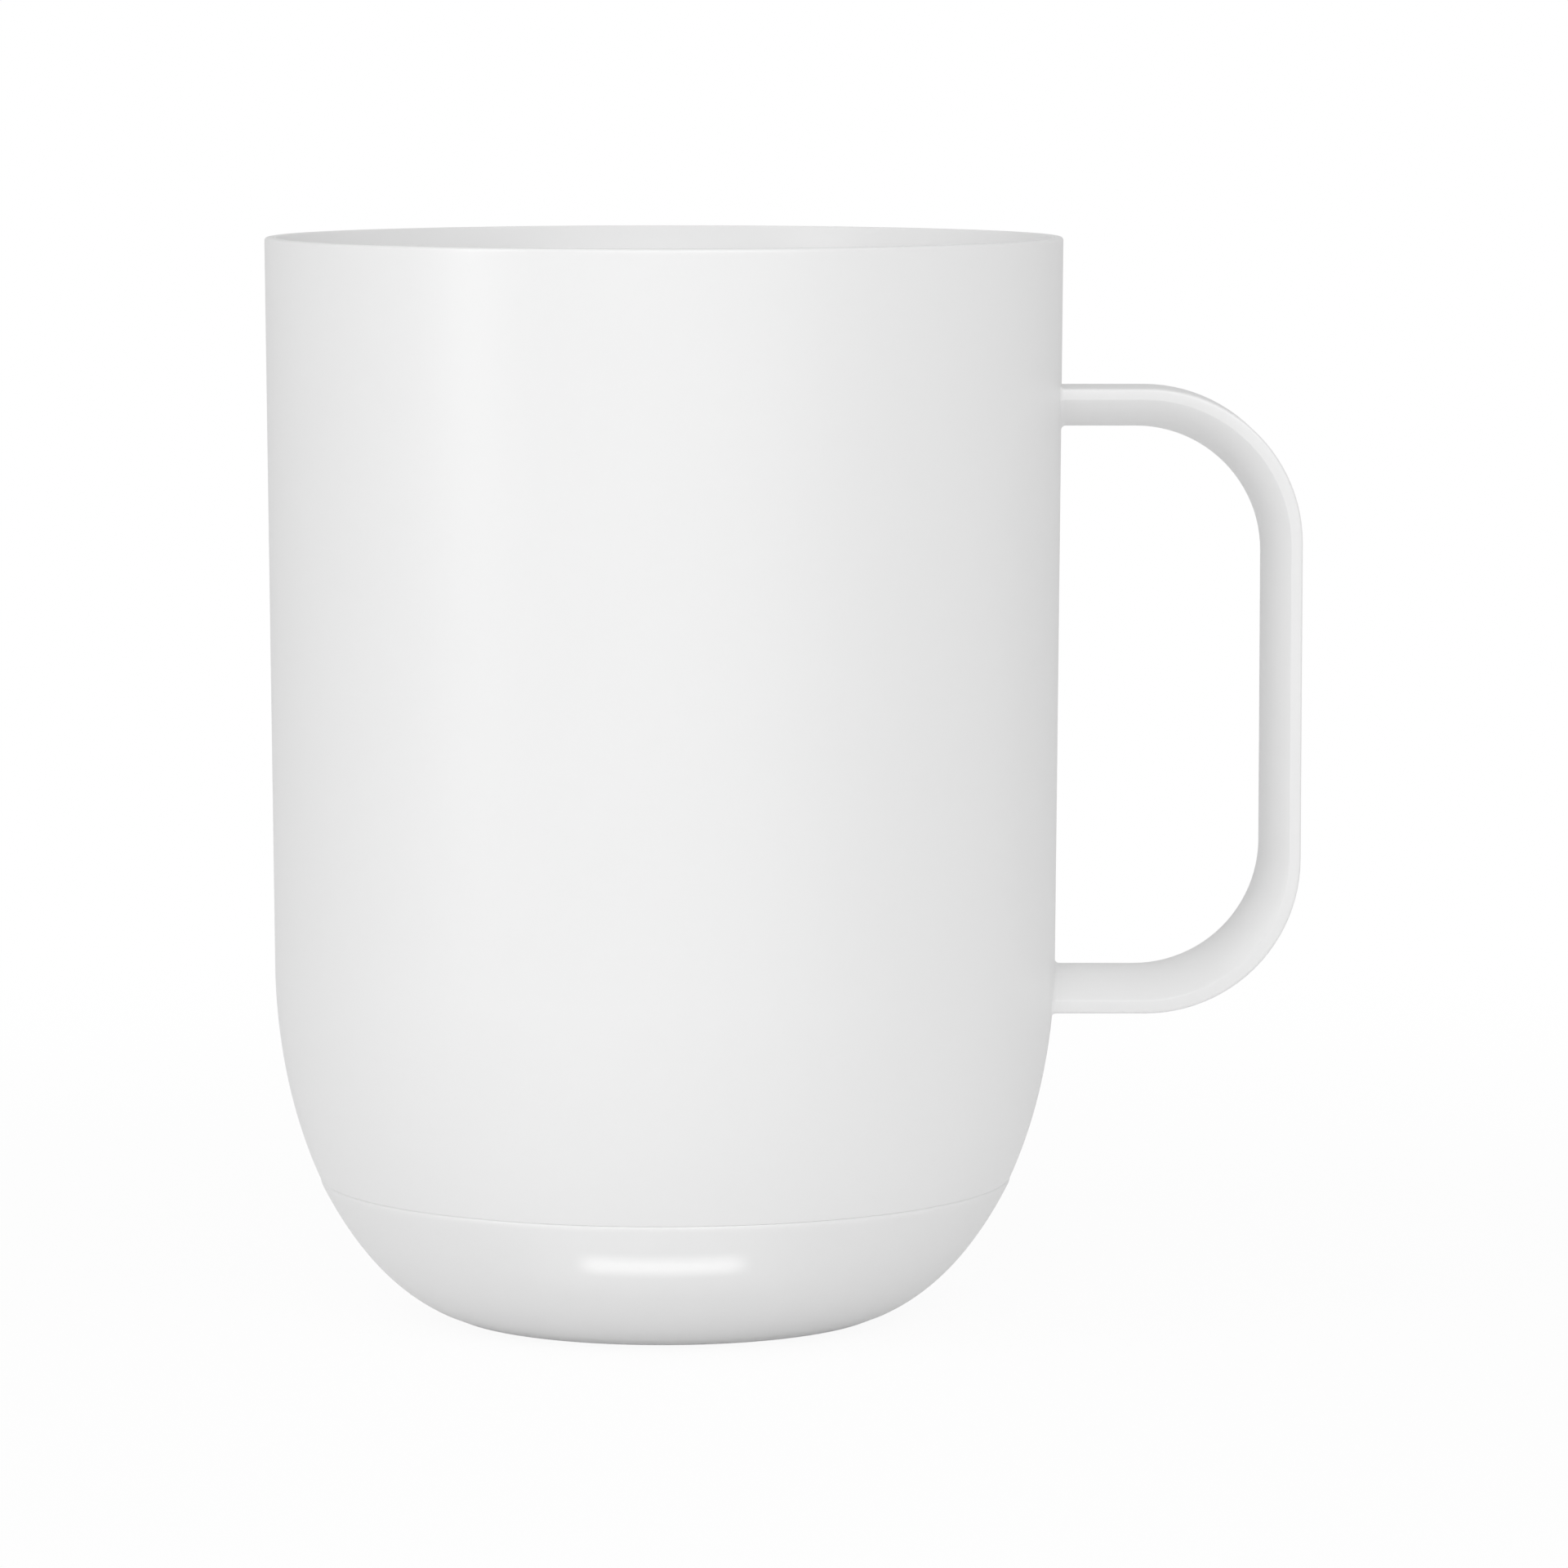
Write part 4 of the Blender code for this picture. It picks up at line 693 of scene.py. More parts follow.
# Geometry node trees
class ShapeTree(Tree):
    """A geometry node tree with named inputs, which turns a mesh into a finished piece."""

    def __init__(self, name: str, inputs: dict[str, str]) -> None:
        """Make the tree.

        Args:
            name: its name.
            inputs: kind of socket for each named input.
        """
        super().__init__(bpy.data.node_groups.new(name, "GeometryNodeTree"))
        face = self.tree.interface
        face.new_socket("Geometry", in_out="OUTPUT", socket_type="NodeSocketGeometry")
        kinds = {"Geometry": "Geometry", **inputs, "Material": "Material"}
        for label, kind in kinds.items():
            face.new_socket(label, in_out="INPUT", socket_type=f"NodeSocket{kind}")
        self.entry = self.node("NodeGroupInput")
        self.source = self.input("Geometry")

    def input(self, label: str) -> Value:
        """Return a named input."""
        return Value(self, self.entry.outputs[label])

    def close(self, geometry: Value) -> None:
        """Realize, paint and put out the geometry."""
        real = self.value("GeometryNodeRealizeInstances", sockets={"Geometry": geometry})
        painted = self.value("GeometryNodeSetMaterial", sockets={
            "Geometry": real, "Material": self.input("Material")})
        self.node("NodeGroupOutput", sockets={"Geometry": painted})

    def make(self, name: str, source: bpy.types.Mesh, finish: Finish, values: dict) -> bpy.types.Object:
        """Run the tree on a mesh.

        Args:
            name: name of the piece.
            source: the mesh that the tree starts from.
            finish: the piece's finish.
            values: what each named input is set to.

        Returns:
            The piece as a plain mesh object.
        """
        holder = put(name, source)
        step = holder.modifiers.new("shape", "NODES")
        step.node_group = self.tree
        settings = {"Material": finish.material(), **values}
        for item in self.tree.interface.items_tree:
            if item.in_out == "INPUT" and item.name in settings:
                step[item.identifier] = settings[item.name]
        shown = holder.evaluated_get(bpy.context.evaluated_depsgraph_get())
        mesh = bpy.data.meshes.new_from_object(shown)
        holder.modifiers.remove(step)
        holder.data = mesh
        tidy_mesh(mesh)
        return holder


def tidy_mesh(mesh: bpy.types.Mesh) -> None:
    """Weld a mesh, point its faces outwards and shade it smooth between its edges."""
    work = bmesh.new()
    work.from_mesh(mesh)
    bmesh.ops.remove_doubles(work, verts=work.verts, dist=WELD)
    bmesh.ops.dissolve_degenerate(work, edges=work.edges, dist=WELD)
    bmesh.ops.recalc_face_normals(work, faces=work.faces)
    work.to_mesh(mesh)
    work.free()
    mesh.shade_smooth()
    mesh.set_sharp_from_angle(angle=SHARP_ANGLE)


class TurningTree(ShapeTree):
    """Turns an outline round an upright axis.

    Each point of the source mesh is (radius, 0, height), or (inset, 1, height) where the point follows
    the mug's side, whose radius the tree works out.
    """

    def __init__(self) -> None:
        """Build the tree's nodes."""
        lengths = (*SIDE.inputs(), "Axis X", "Axis Y")
        super().__init__("turned_form", {**dict.fromkeys(lengths, "Float"), "Segments": "Int"})
        count = self.value("GeometryNodeAttributeDomainSize", {"component": "MESH"},
                           {"Geometry": self.source}, "Point Count")
        grid = self.value("GeometryNodeMeshGrid", sockets={
            "Size X": count - 1, "Size Y": 1.0, "Vertices X": count,
            "Vertices Y": self.input("Segments") + 1})
        position = self.value("GeometryNodeInputPosition")
        x, y, _ = self.split(position)
        row = self.math("ROUND", x + (count - 1) / 2)
        point = self.value("GeometryNodeSampleIndex", {"data_type": "FLOAT_VECTOR", "domain": "POINT"},
                           {"Geometry": self.source, "Value": position, "Index": row})
        reach, follows, height = self.split(point)
        radius = reach + follows * (self.side(height) - 2 * reach)
        angle = (y + 0.5) * math.tau
        placed = self.combine(self.input("Axis X") + radius * self.math("COSINE", angle),
                              self.input("Axis Y") + radius * self.math("SINE", angle), height)
        formed = self.value("GeometryNodeSetPosition", sockets={"Geometry": grid, "Position": placed})
        self.close(self.value("GeometryNodeMergeByDistance", sockets={"Geometry": formed, "Distance": WELD}))

    def side(self, height: Value) -> Value:
        """Return the mug's outer radius at a height."""
        curve, undercut = self.input("Curve Height"), self.input("Undercut")
        side = self.input("Rim Radius") - self.input("Taper")
        drop = self.math("MAXIMUM", curve - height, 0.0) / (curve + undercut)
        below = (side - self.input("Foot Radius")) * (1 - self.math("SQRT", 1 - drop * drop))
        above = self.math("MAXIMUM", height - curve, 0.0) / (self.input("Height") - curve)
        return side - below + above * self.input("Taper")


class RanksTree(ShapeTree):
    """Copies the source mesh in equal ranks that face away from a centre.

    Each of the Sides ranks holds Count copies, Pitch apart, at a distance Reach from the centre.
    """

    def __init__(self) -> None:
        """Build the tree's nodes."""
        super().__init__("ranks", {"Sides": "Int", "Count": "Int", "Pitch": "Float", "Reach": "Float",
                                   "Turn": "Float", "Centre": "Vector"})
        sides, count = self.input("Sides"), self.input("Count")
        cloud = self.value("GeometryNodePoints", sockets={"Count": sides * count})
        index = self.value("GeometryNodeInputIndex")
        rank = self.math("FLOOR", (index + 0.5) / count)
        along = (index - rank * count - (count - 1) / 2) * self.input("Pitch")
        angle = self.input("Turn") + rank * math.tau / sides
        cosine, sine = self.math("COSINE", angle), self.math("SINE", angle)
        x, y, z = self.split(self.input("Centre"))
        reach = self.input("Reach")
        placed = self.combine(x + reach * cosine - along * sine, y + reach * sine + along * cosine, z)
        spots = self.value("GeometryNodeSetPosition", sockets={"Geometry": cloud, "Position": placed})
        self.close(self.value("GeometryNodeInstanceOnPoints", sockets={
            "Points": spots, "Instance": self.source, "Rotation": self.combine(0.0, 0.0, angle)}))


TURNING = TurningTree()
RANKS = RanksTree()


@dataclass(frozen=True)
class Box:
    """The box that a CAD node fills."""

    low: Vector
    high: Vector

    @classmethod
    def of(cls, node: str) -> "Box":
        """Return a node's box."""
        return cls(*(Vector(corner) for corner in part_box(node)))

    @property
    def middle(self) -> Vector:
        """Its middle."""
        return (self.low + self.high) / 2

    @property
    def centre(self) -> Place:
        """Where the upright line through its middle stands."""
        return (self.low.x + self.high.x) / 2, (self.low.y + self.high.y) / 2


def outline_mesh(corners: Sequence[Corner], closed: bool, side_inset: float | None = None,
                 steps: int = 5) -> bpy.types.Mesh:
    """Make the source mesh of a turned form.

    Args:
        corners: (radius, height, fillet) of each corner.
        closed: whether the outline comes back to its first corner.
        side_inset: points at this inset from the mug's side, or at none, follow the side law.
        steps: pieces in each fillet.

    Returns:
        A mesh of loose points.
    """
    points = rounded(corners, closed, steps)
    if closed:
        points.append(points[0])
    rows = [(radius, 0.0, height) for radius, height in points]
    if side_inset is not None:
        for spot, (radius, height) in enumerate(points):
            inset = SIDE.radius(height) - radius
            if any(abs(inset - known) < WELD for known in (0.0, side_inset)):
                rows[spot] = (inset, 1.0, height)
    mesh = bpy.data.meshes.new("outline")
    mesh.from_pydata(rows, [], [])
    return mesh


def turn(name: str, corners: Sequence[Corner], finish: Finish, closed: bool = True, segments: int = 192,
         side_inset: float | None = None, centre: Place = AXIS, steps: int = 5) -> bpy.types.Object:
    """Turn an outline round an upright axis.

    Args:
        name: name of the piece.
        corners: (radius, height, fillet) of each corner.
        finish: the piece's finish.
        closed: whether the outline comes back to its first corner.
        segments: pieces in the round.
        side_inset: see outline_mesh.
        centre: where the axis stands.
        steps: pieces in each fillet.

    Returns:
        The turned piece.
    """
    source = outline_mesh(corners, closed, side_inset, steps)
    values = {**SIDE.inputs(), "Axis X": centre[0], "Axis Y": centre[1], "Segments": segments}
    return TURNING.make(name, source, finish, values)


def drill(piece: bpy.types.Object, cutters: Sequence[bpy.types.Object], overlapping: bool = False) -> None:
    """Cut holes into a piece and remove what cut them.

    Args:
        piece: the piece.
        cutters: closed forms of the size of each hole.
        overlapping: whether the piece's own parts overlap.
    """
    for cutter in cutters:
        step = piece.modifiers.new("hole", "BOOLEAN")
        step.operation, step.solver, step.object = "DIFFERENCE", "EXACT", cutter
        step.use_self = overlapping
    shown = piece.evaluated_get(bpy.context.evaluated_depsgraph_get())
    mesh = bpy.data.meshes.new_from_object(shown)
    piece.modifiers.clear()
    piece.data = mesh
    tidy_mesh(mesh)
    for cutter in cutters:
        bpy.data.objects.remove(cutter, do_unlink=True)


def bore(piece: bpy.types.Object, finish: Finish, radius: float, low: float, high: float,
         places: Sequence[Place], segments: int, overlapping: bool = False) -> None:
    """Cut upright round holes into a piece.

    Args:
        piece: the piece.
        finish: the finish of the holes' walls.
        radius: radius of the holes.
        low: height of their lower ends.
        high: height of their upper ends.
        places: where they stand.
        segments: pieces in the round.
        overlapping: whether the piece's own parts overlap.
    """
    corners = [(0.0, low, 0.0), (radius, low, 0.0), (radius, high, 0.0), (0.0, high, 0.0)]
    drill(piece, [turn("bore", corners, finish, closed=False, segments=segments, centre=place)
                  for place in places], overlapping)


def block(low: Sequence[float], high: Sequence[float], fillet: float, steps: int = 3) -> bpy.types.Mesh:
    """Make a box with rounded edges.

    Args:
        low: its lowest corner.
        high: its highest corner.
        fillet: radius of its edges.
        steps: pieces in each rounded edge.

    Returns:
        The box's mesh.
    """
    low, high = Vector(low), Vector(high)
    work = bmesh.new()
    bmesh.ops.create_cube(work, size=1.0)
    bmesh.ops.scale(work, vec=high - low, verts=work.verts)
    bmesh.ops.translate(work, vec=(low + high) / 2, verts=work.verts)
    bmesh.ops.bevel(work, geom=[*work.verts, *work.edges], offset=fillet, segments=steps, profile=0.5,
                    affect="EDGES")
    mesh = bpy.data.meshes.new("block")
    work.to_mesh(mesh)
    work.free()
    return mesh


def strip(outline: Sequence[Place], width: float) -> bpy.types.Mesh:
    """Make a bar of one width from its side view.

    Args:
        outline: its (outwards, up) corners.
        width: how wide it is.

    Returns:
        The bar's mesh.
    """
    count = len(outline)
    points = [(x, side * width / 2, z) for side in (-1, 1) for x, z in outline]
    faces = [tuple(range(count)), tuple(range(count, 2 * count))]
    faces += [(spot, (spot + 1) % count, (spot + 1) % count + count, spot + count) for spot in range(count)]
    mesh = bpy.data.meshes.new("strip")
    mesh.from_pydata(points, [], faces)
    return mesh


def assemble(name: str, meshes: Sequence[bpy.types.Mesh], finish: Finish) -> bpy.types.Object:
    """Join meshes into one piece of one finish."""
    work = bmesh.new()
    for mesh in meshes:
        work.from_mesh(mesh)
    joined = bpy.data.meshes.new(name)
    work.to_mesh(joined)
    work.free()
    joined.materials.append(finish.material())
    tidy_mesh(joined)
    return put(name, joined)


def ranks(name: str, source: bpy.types.Mesh, finish: Finish, centre: Sequence[float], reach: float,
          sides: int = 1, count: int = 1, pitch: float = 0.0, turn_by: float = 0.0) -> bpy.types.Object:
    """Copy a mesh in ranks about a centre.

    Args:
        name: name of the piece.
        source: the mesh, which faces along +X.
        finish: the piece's finish.
        centre: middle of the ranks.
        reach: distance of each rank from it.
        sides: number of ranks.
        count: copies in each rank.
        pitch: space between copies.
        turn_by: direction of the first rank.

    Returns:
        The copies as one piece.
    """
    values = {"Sides": sides, "Count": count, "Pitch": pitch, "Reach": reach, "Turn": turn_by,
              "Centre": tuple(centre)}
    return RANKS.make(name, source, finish, values)


def loose(piece: bpy.types.Object) -> bpy.types.Mesh:
    """Return a piece's mesh and remove the piece."""
    mesh = piece.data
    bpy.data.objects.remove(piece)
    return mesh


def lay(piece: bpy.types.Object, placing: Matrix) -> bpy.types.Object:
    """Move a piece's mesh, so that its object stays at the origin."""
    piece.data.transform(placing)
    return piece


def settle(piece: bpy.types.Object, replaced: Iterable[str] = (), body: Body = Body.MUG) -> None:
    """Ride a finished piece on its body and hide what it stands for.

    Args:
        piece: the finished piece.
        replaced: CAD nodes that it stands for.
        body: the body that it moves with.
    """
    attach(piece, body.value)
    if replaced:
        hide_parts(*replaced)
    log.info("%s: %d faces", piece.name, len(piece.data.polygons))


# The outside
@dataclass
class Vessel:
    """The coated sleeve and the cup inside it."""

    seam_height: float = 15.74 * MM
    seam_round: float = 0.08 * MM
    shell_wall: float = 1.0 * MM
    rim_round: float = 0.34 * MM
    edge_round: float = 0.06 * MM
    lip_radius: float = 43.0 * MM
    hairline: float = 0.03 * MM
    lip_thickness: float = 4.5 * MM
    lip_round: float = 0.15 * MM
    lip_width: float = 0.25 * MM
    flare_height: float = 4.5 * MM
    flare_round: float = 18.0 * MM
    shoulder_radius: float = 41.85 * MM
    shoulder_height: float = 3.0 * MM
    cup_radius: float = 41.55 * MM
    cup_wall: float = 0.8 * MM
    cup_bottom: float = 38.8 * MM
    cup_floor: float = 0.7 * MM
    cup_corner: float = 8.0 * MM
    segments: int = 256

    def build(self) -> None:
        """Build and settle both pieces."""
        settle(self.sleeve(), ["outer_shell"])
        settle(self.cup(), ["inner_cup"])

    def sleeve(self) -> bpy.types.Object:
        """Turn the outer sleeve."""
        top = SIDE.height
        shelf = top - self.lip_thickness - self.hairline
        ridge = self.lip_radius + self.hairline
        low = self.seam_height
        side = SIDE.rows(0.0, top - 2 * self.rim_round, low + 3 * self.edge_round, 48)
        inside = SIDE.rows(self.shell_wall, top - 2 * self.shoulder_height, low + 3 * self.edge_round, 24)
        corners = [(ridge, top, self.edge_round), (SIDE.rim_radius, top, self.rim_round), *side,
                   (SIDE.radius(low), low, self.seam_round),
                   (SIDE.radius(low) - self.shell_wall, low, self.edge_round), *reversed(inside),
                   (self.shoulder_radius, shelf - self.shoulder_height / 2, self.edge_round),
                   (self.shoulder_radius, shelf, 0.0), (ridge, shelf, 0.0)]
        return turn("sleeve", corners, COATING, side_inset=self.shell_wall, segments=self.segments)

    def cup(self) -> bpy.types.Object:
        """Turn the cup with its lip."""
        inside = self.cup_radius - self.cup_wall
        floor = self.cup_bottom + self.cup_floor
        top = SIDE.height
        lip, under = self.lip_radius, top - self.lip_thickness
        corners = [(0.0, floor, 0.0), (inside, floor, self.cup_corner - self.cup_wall),
                   (inside, top - self.flare_height, self.flare_round),
                   (lip - self.lip_width, top, self.lip_round), (lip, top, self.edge_round),
                   (lip, under, self.edge_round), (self.cup_radius, under, 0.0),
                   (self.cup_radius, self.cup_bottom, self.cup_corner), (0.0, self.cup_bottom, 0.0)]
        return turn("liner", corners, LINING, closed=False, segments=self.segments, steps=12)


@dataclass
class Handle:
    """The D-section bar, lofted along its path, with a small fillet where it meets the sleeve."""

    top: float = 103.5 * MM
    bottom: float = 34.3 * MM
    reach: float = 70.3 * MM
    thickness: float = 4.35 * MM
    lower_thickness: float = 4.95 * MM
    depth: float = 11.0 * MM
    bend: float = 18.2 * MM
    corner: float = 17.1 * MM
    side: float = 1.25 * MM
    edge_round: float = 0.3 * MM
    crease_round: float = 0.2 * MM
    crease_start: float = math.radians(38)
    root_round: float = 0.5 * MM
    root_sink: float = 0.3 * MM
    belly_steps: int = 28
    bend_steps: int = 24
    root_steps: int = 6

    def build(self) -> None:
        """Build and settle the handle."""
        settle(self.loft(), ["handle"])

    def section(self) -> list[Place]:
        """Return the outline of the bar as (across, outwards) points."""
        half = self.depth / 2
        outer = self.thickness / 2
        crease = outer - self.side
        start = self.crease_start
        width = half / math.cos(start)
        drop = (crease + outer) / (1 - math.sin(start))
        corners: list[Corner] = [(-half, outer, self.edge_round), (half, outer, self.edge_round),
                                 (half, crease, self.crease_round)]
        for step in range(1, self.belly_steps):
            angle = start + (math.pi - 2 * start) * step / self.belly_steps
            corners.append((width * math.cos(angle), drop * (1 - math.sin(angle)) - outer, 0.0))
        corners.append((-half, crease, self.crease_round))
        return rounded(corners, True, 4)

    def loft(self) -> bpy.types.Object:
        """Loft the section along the path, from the upper root to the lower one."""
        outline = self.section()
        inner_radius = self.bend - self.thickness
        inner_low = self.bottom + self.lower_thickness + inner_radius
        rings = self.root(outline, self.top - self.thickness / 2, 1.0, 1.0)
        for inner_z, outer_z, start in ((self.top - self.bend, self.top - self.corner, 90),
                                        (inner_low, self.bottom + self.corner, 0)):
            inner = Vector((self.reach - self.bend, 0.0, inner_z))
            outer = Vector((self.reach - self.corner, 0.0, outer_z))
            for step in range(self.bend_steps + 1):
                angle = math.radians(start - 90 * step / self.bend_steps)
                out = Vector((math.cos(angle), 0.0, math.sin(angle)))
                near, far = inner + out * inner_radius, outer + out * self.corner
                rings.append([near.lerp(far, up / self.thickness + 0.5) + Vector((0.0, across, 0.0))
                              for across, up in outline])
        lower = self.bottom + self.lower_thickness / 2
        rings += reversed(self.root(outline, lower, -1.0, self.lower_thickness / self.thickness))
        return self.skin(rings)

    def root(self, outline: list[Place], height: float, out: float,
             stretch: float) -> list[list[Vector]]:
        """Return the rings of one root, from inside the sleeve's wall to the end of the fillet.

        Args:
            outline: the bar's section.
            height: height of the bar's middle line.
            out: 1 where outwards is up, -1 where it is down.
            stretch: the bar's thickness here, as a share of the section's.

        Returns:
            Rings of points about the cup's axis.
        """
        count = len(outline)
        spots = [Vector(spot) for spot in outline]
        normals = []
        for index, spot in enumerate(spots):
            along = spots[(index + 1) % count] - spots[index - 1]
            normals.append(Vector((-along.y, along.x)).normalized())
        if normals[0].dot(spots[0]) < 0:
            normals = [-normal for normal in normals]
        stations = [(-self.root_sink, self.root_round)]
        for step in range(self.root_steps + 1):
            angle = math.pi / 2 * step / self.root_steps
            shares = 1 - math.cos(angle), 1 - math.sin(angle)
            stations.append(tuple(self.root_round * share for share in shares))
        rings = []
        for distance, spread in stations:
            ring = []
            for spot, normal in zip(spots, normals):
                across, up = spot + normal * spread
                z = height + out * up * stretch
                wall = math.sqrt(SIDE.radius(z) ** 2 - across ** 2)
                ring.append(Vector((wall + distance, across, z)))
            rings.append(ring)
        return rings

    @staticmethod
    def skin(rings: list[list[Vector]]) -> bpy.types.Object:
        """Join rings of points into a closed piece.

        Args:
            rings: rings of as many points each, about the cup's axis.

        Returns:
            The handle as a plain mesh object.
        """
        count = len(rings[0])
        points = [spot + Vector((AXIS_X, 0.0, 0.0)) for ring in rings for spot in ring]
        faces = [tuple(range(count)), tuple(range(len(points) - count, len(points)))]
        for row in range(len(rings) - 1):
            for column in range(count):
                first, second = row * count + column, row * count + (column + 1) % count
                faces.append((first, second, second + count, first + count))
        mesh = bpy.data.meshes.new("grip")
        mesh.from_pydata(points, [], faces)
        return assemble("grip", [mesh], COATING)


@dataclass
class Base:
    """The bowl-shaped lower housing, the foot ring and the seal in the seam."""

    top: float = 15.72 * MM
    floor_bottom: float = 0.4 * MM
    floor_top: float = 3.4 * MM
    wall: float = 2.4 * MM
    bevel_height: float = 1.1 * MM
    bevel_depth: float = 0.26 * MM
    bevel_steps: int = 12
    swell: float = 0.14 * MM
    swell_start: float = 7.0 * MM
    edge_round: float = 0.4 * MM
    small_round: float = 0.12 * MM
    rebate_radius: float = 36.32 * MM
    rebate_floor: float = 13.7 * MM
    groove_outer: float = 22.24 * MM
    groove_inner: float = 16.84 * MM
    groove_top: float = 1.2 * MM
    hole_radius: float = 15.44 * MM
    foot_outer: float = 21.94 * MM
    foot_inner: float = 17.14 * MM
    foot_thickness: float = 0.9 * MM
    foot_recess: float = 0.14 * MM
    screw_head: float = 2.2 * MM
    screw_shank: float = 1.2 * MM
    screw_seat: float = 1.2 * MM
    over: float = 1.0 * MM
    gasket_width: float = 1.0 * MM
    nubs: int = 54
    nub_length: float = 0.40
    nub_width: float = 0.13

    def build(self) -> None:
        """Build and settle the pieces."""
        settle(self.housing(), ["base_housing"])
        settle(self.foot(), ["foot_ring"])
        settle(self.foot_nubs())
        settle(self.gasket(), ["seam_gasket"])

    def housing(self) -> bpy.types.Object:
        """Turn the housing."""
        low, small = self.floor_bottom, self.small_round
        shoulder = self.top - self.bevel_height
        side = [(self.flank(height), height, 0.0)
                for _, height, _ in SIDE.rows(0.0, shoulder, low + 2 * self.edge_round, 40)]
        inside = SIDE.rows(self.wall, self.rebate_floor, self.floor_top, 20)
        corners = [(self.rebate_radius, self.top, small), *self.bevel(), *side,
                   (SIDE.radius(low), low, self.edge_round), (self.groove_outer, low, small),
                   (self.groove_outer, self.groove_top, 0.0), (self.groove_inner, self.groove_top, 0.0),
                   (self.groove_inner, low, small), (self.hole_radius, low, small),
                   (self.hole_radius, self.floor_top, 0.0), *reversed(inside),
                   (self.rebate_radius, self.rebate_floor, 0.0)]
        bowl = turn("base_bowl", corners, BASE_COATING, side_inset=self.wall, segments=256)
        drill(bowl, [self.screw_hole(f"base_screw_{number}") for number in (1, 2, 3)])
        return bowl

    def bevel(self) -> list[Corner]:
        """Return points down the upper edge, which leans in more and more towards the seam."""
        points = []
        for step in range(self.bevel_steps, 0, -1):
            share = step / self.bevel_steps
            height = self.top - self.bevel_height * (1 - share)
            points.append((self.flank(height) - self.bevel_depth * share ** 4, height, 0.0))
        return points

    def flank(self, height: float) -> float:
        """Return the radius of the side, which swells a little towards the seam."""
        share = max(0.0, (height - self.swell_start) / (self.top - self.swell_start))
        return SIDE.radius(height) + self.swell * share ** 2

    def screw_hole(self, node: str) -> bpy.types.Object:
        """Make the stepped hole of a screw that holds the base."""
        low, high = self.groove_top - self.over / 2, self.floor_top + self.over
        step = self.groove_top + self.screw_seat
        corners = [(0.0, low, 0.0), (self.screw_head, low, 0.0), (self.screw_head, step, 0.0),
                   (self.screw_shank, step, 0.0), (self.screw_shank, high, 0.0), (0.0, high, 0.0)]
        return turn(node + "_hole", corners, BASE_COATING, closed=False, segments=48,
                    centre=Box.of(node).centre)

    def foot(self) -> bpy.types.Object:
        """Turn the foot ring."""
        low, high, edge = self.foot_recess, self.foot_thickness, 2 * self.small_round
        corners = [(self.foot_inner, high, 0.0), (self.foot_outer, high, 0.0), (self.foot_outer, low, edge),
                   (self.foot_inner, low, edge)]
        return turn("foot_pad", corners, RUBBER)

    def foot_nubs(self) -> bpy.types.Object:
        """Set a ring of small grips under the foot."""
        width = self.foot_outer - self.foot_inner
        size = (self.nub_length * width, self.nub_width * width, 2 * self.foot_recess)
        nub = bpy.data.meshes.new("nub")
        work = bmesh.new()
        bmesh.ops.create_uvsphere(work, u_segments=12, v_segments=8, radius=1.0)
        bmesh.ops.scale(work, vec=Vector(size) / 2, verts=work.verts)
        work.to_mesh(nub)
        work.free()
        return ranks("foot_nubs", nub, RUBBER, (*AXIS, self.foot_recess),
                     (self.foot_outer + self.foot_inner) / 2, self.nubs)

    def gasket(self) -> bpy.types.Object:
        """Turn the seal, a square ring with rounded edges."""
        box, edge = Box.of("seam_gasket"), 2 * self.small_round
        inner, outer, low, high = box.high.y - self.gasket_width, box.high.y, box.low.z, box.high.z
        corners = [(inner, high, edge), (outer, high, edge), (outer, low, edge), (inner, low, edge)]
        return turn("seam_seal", corners, RUBBER)


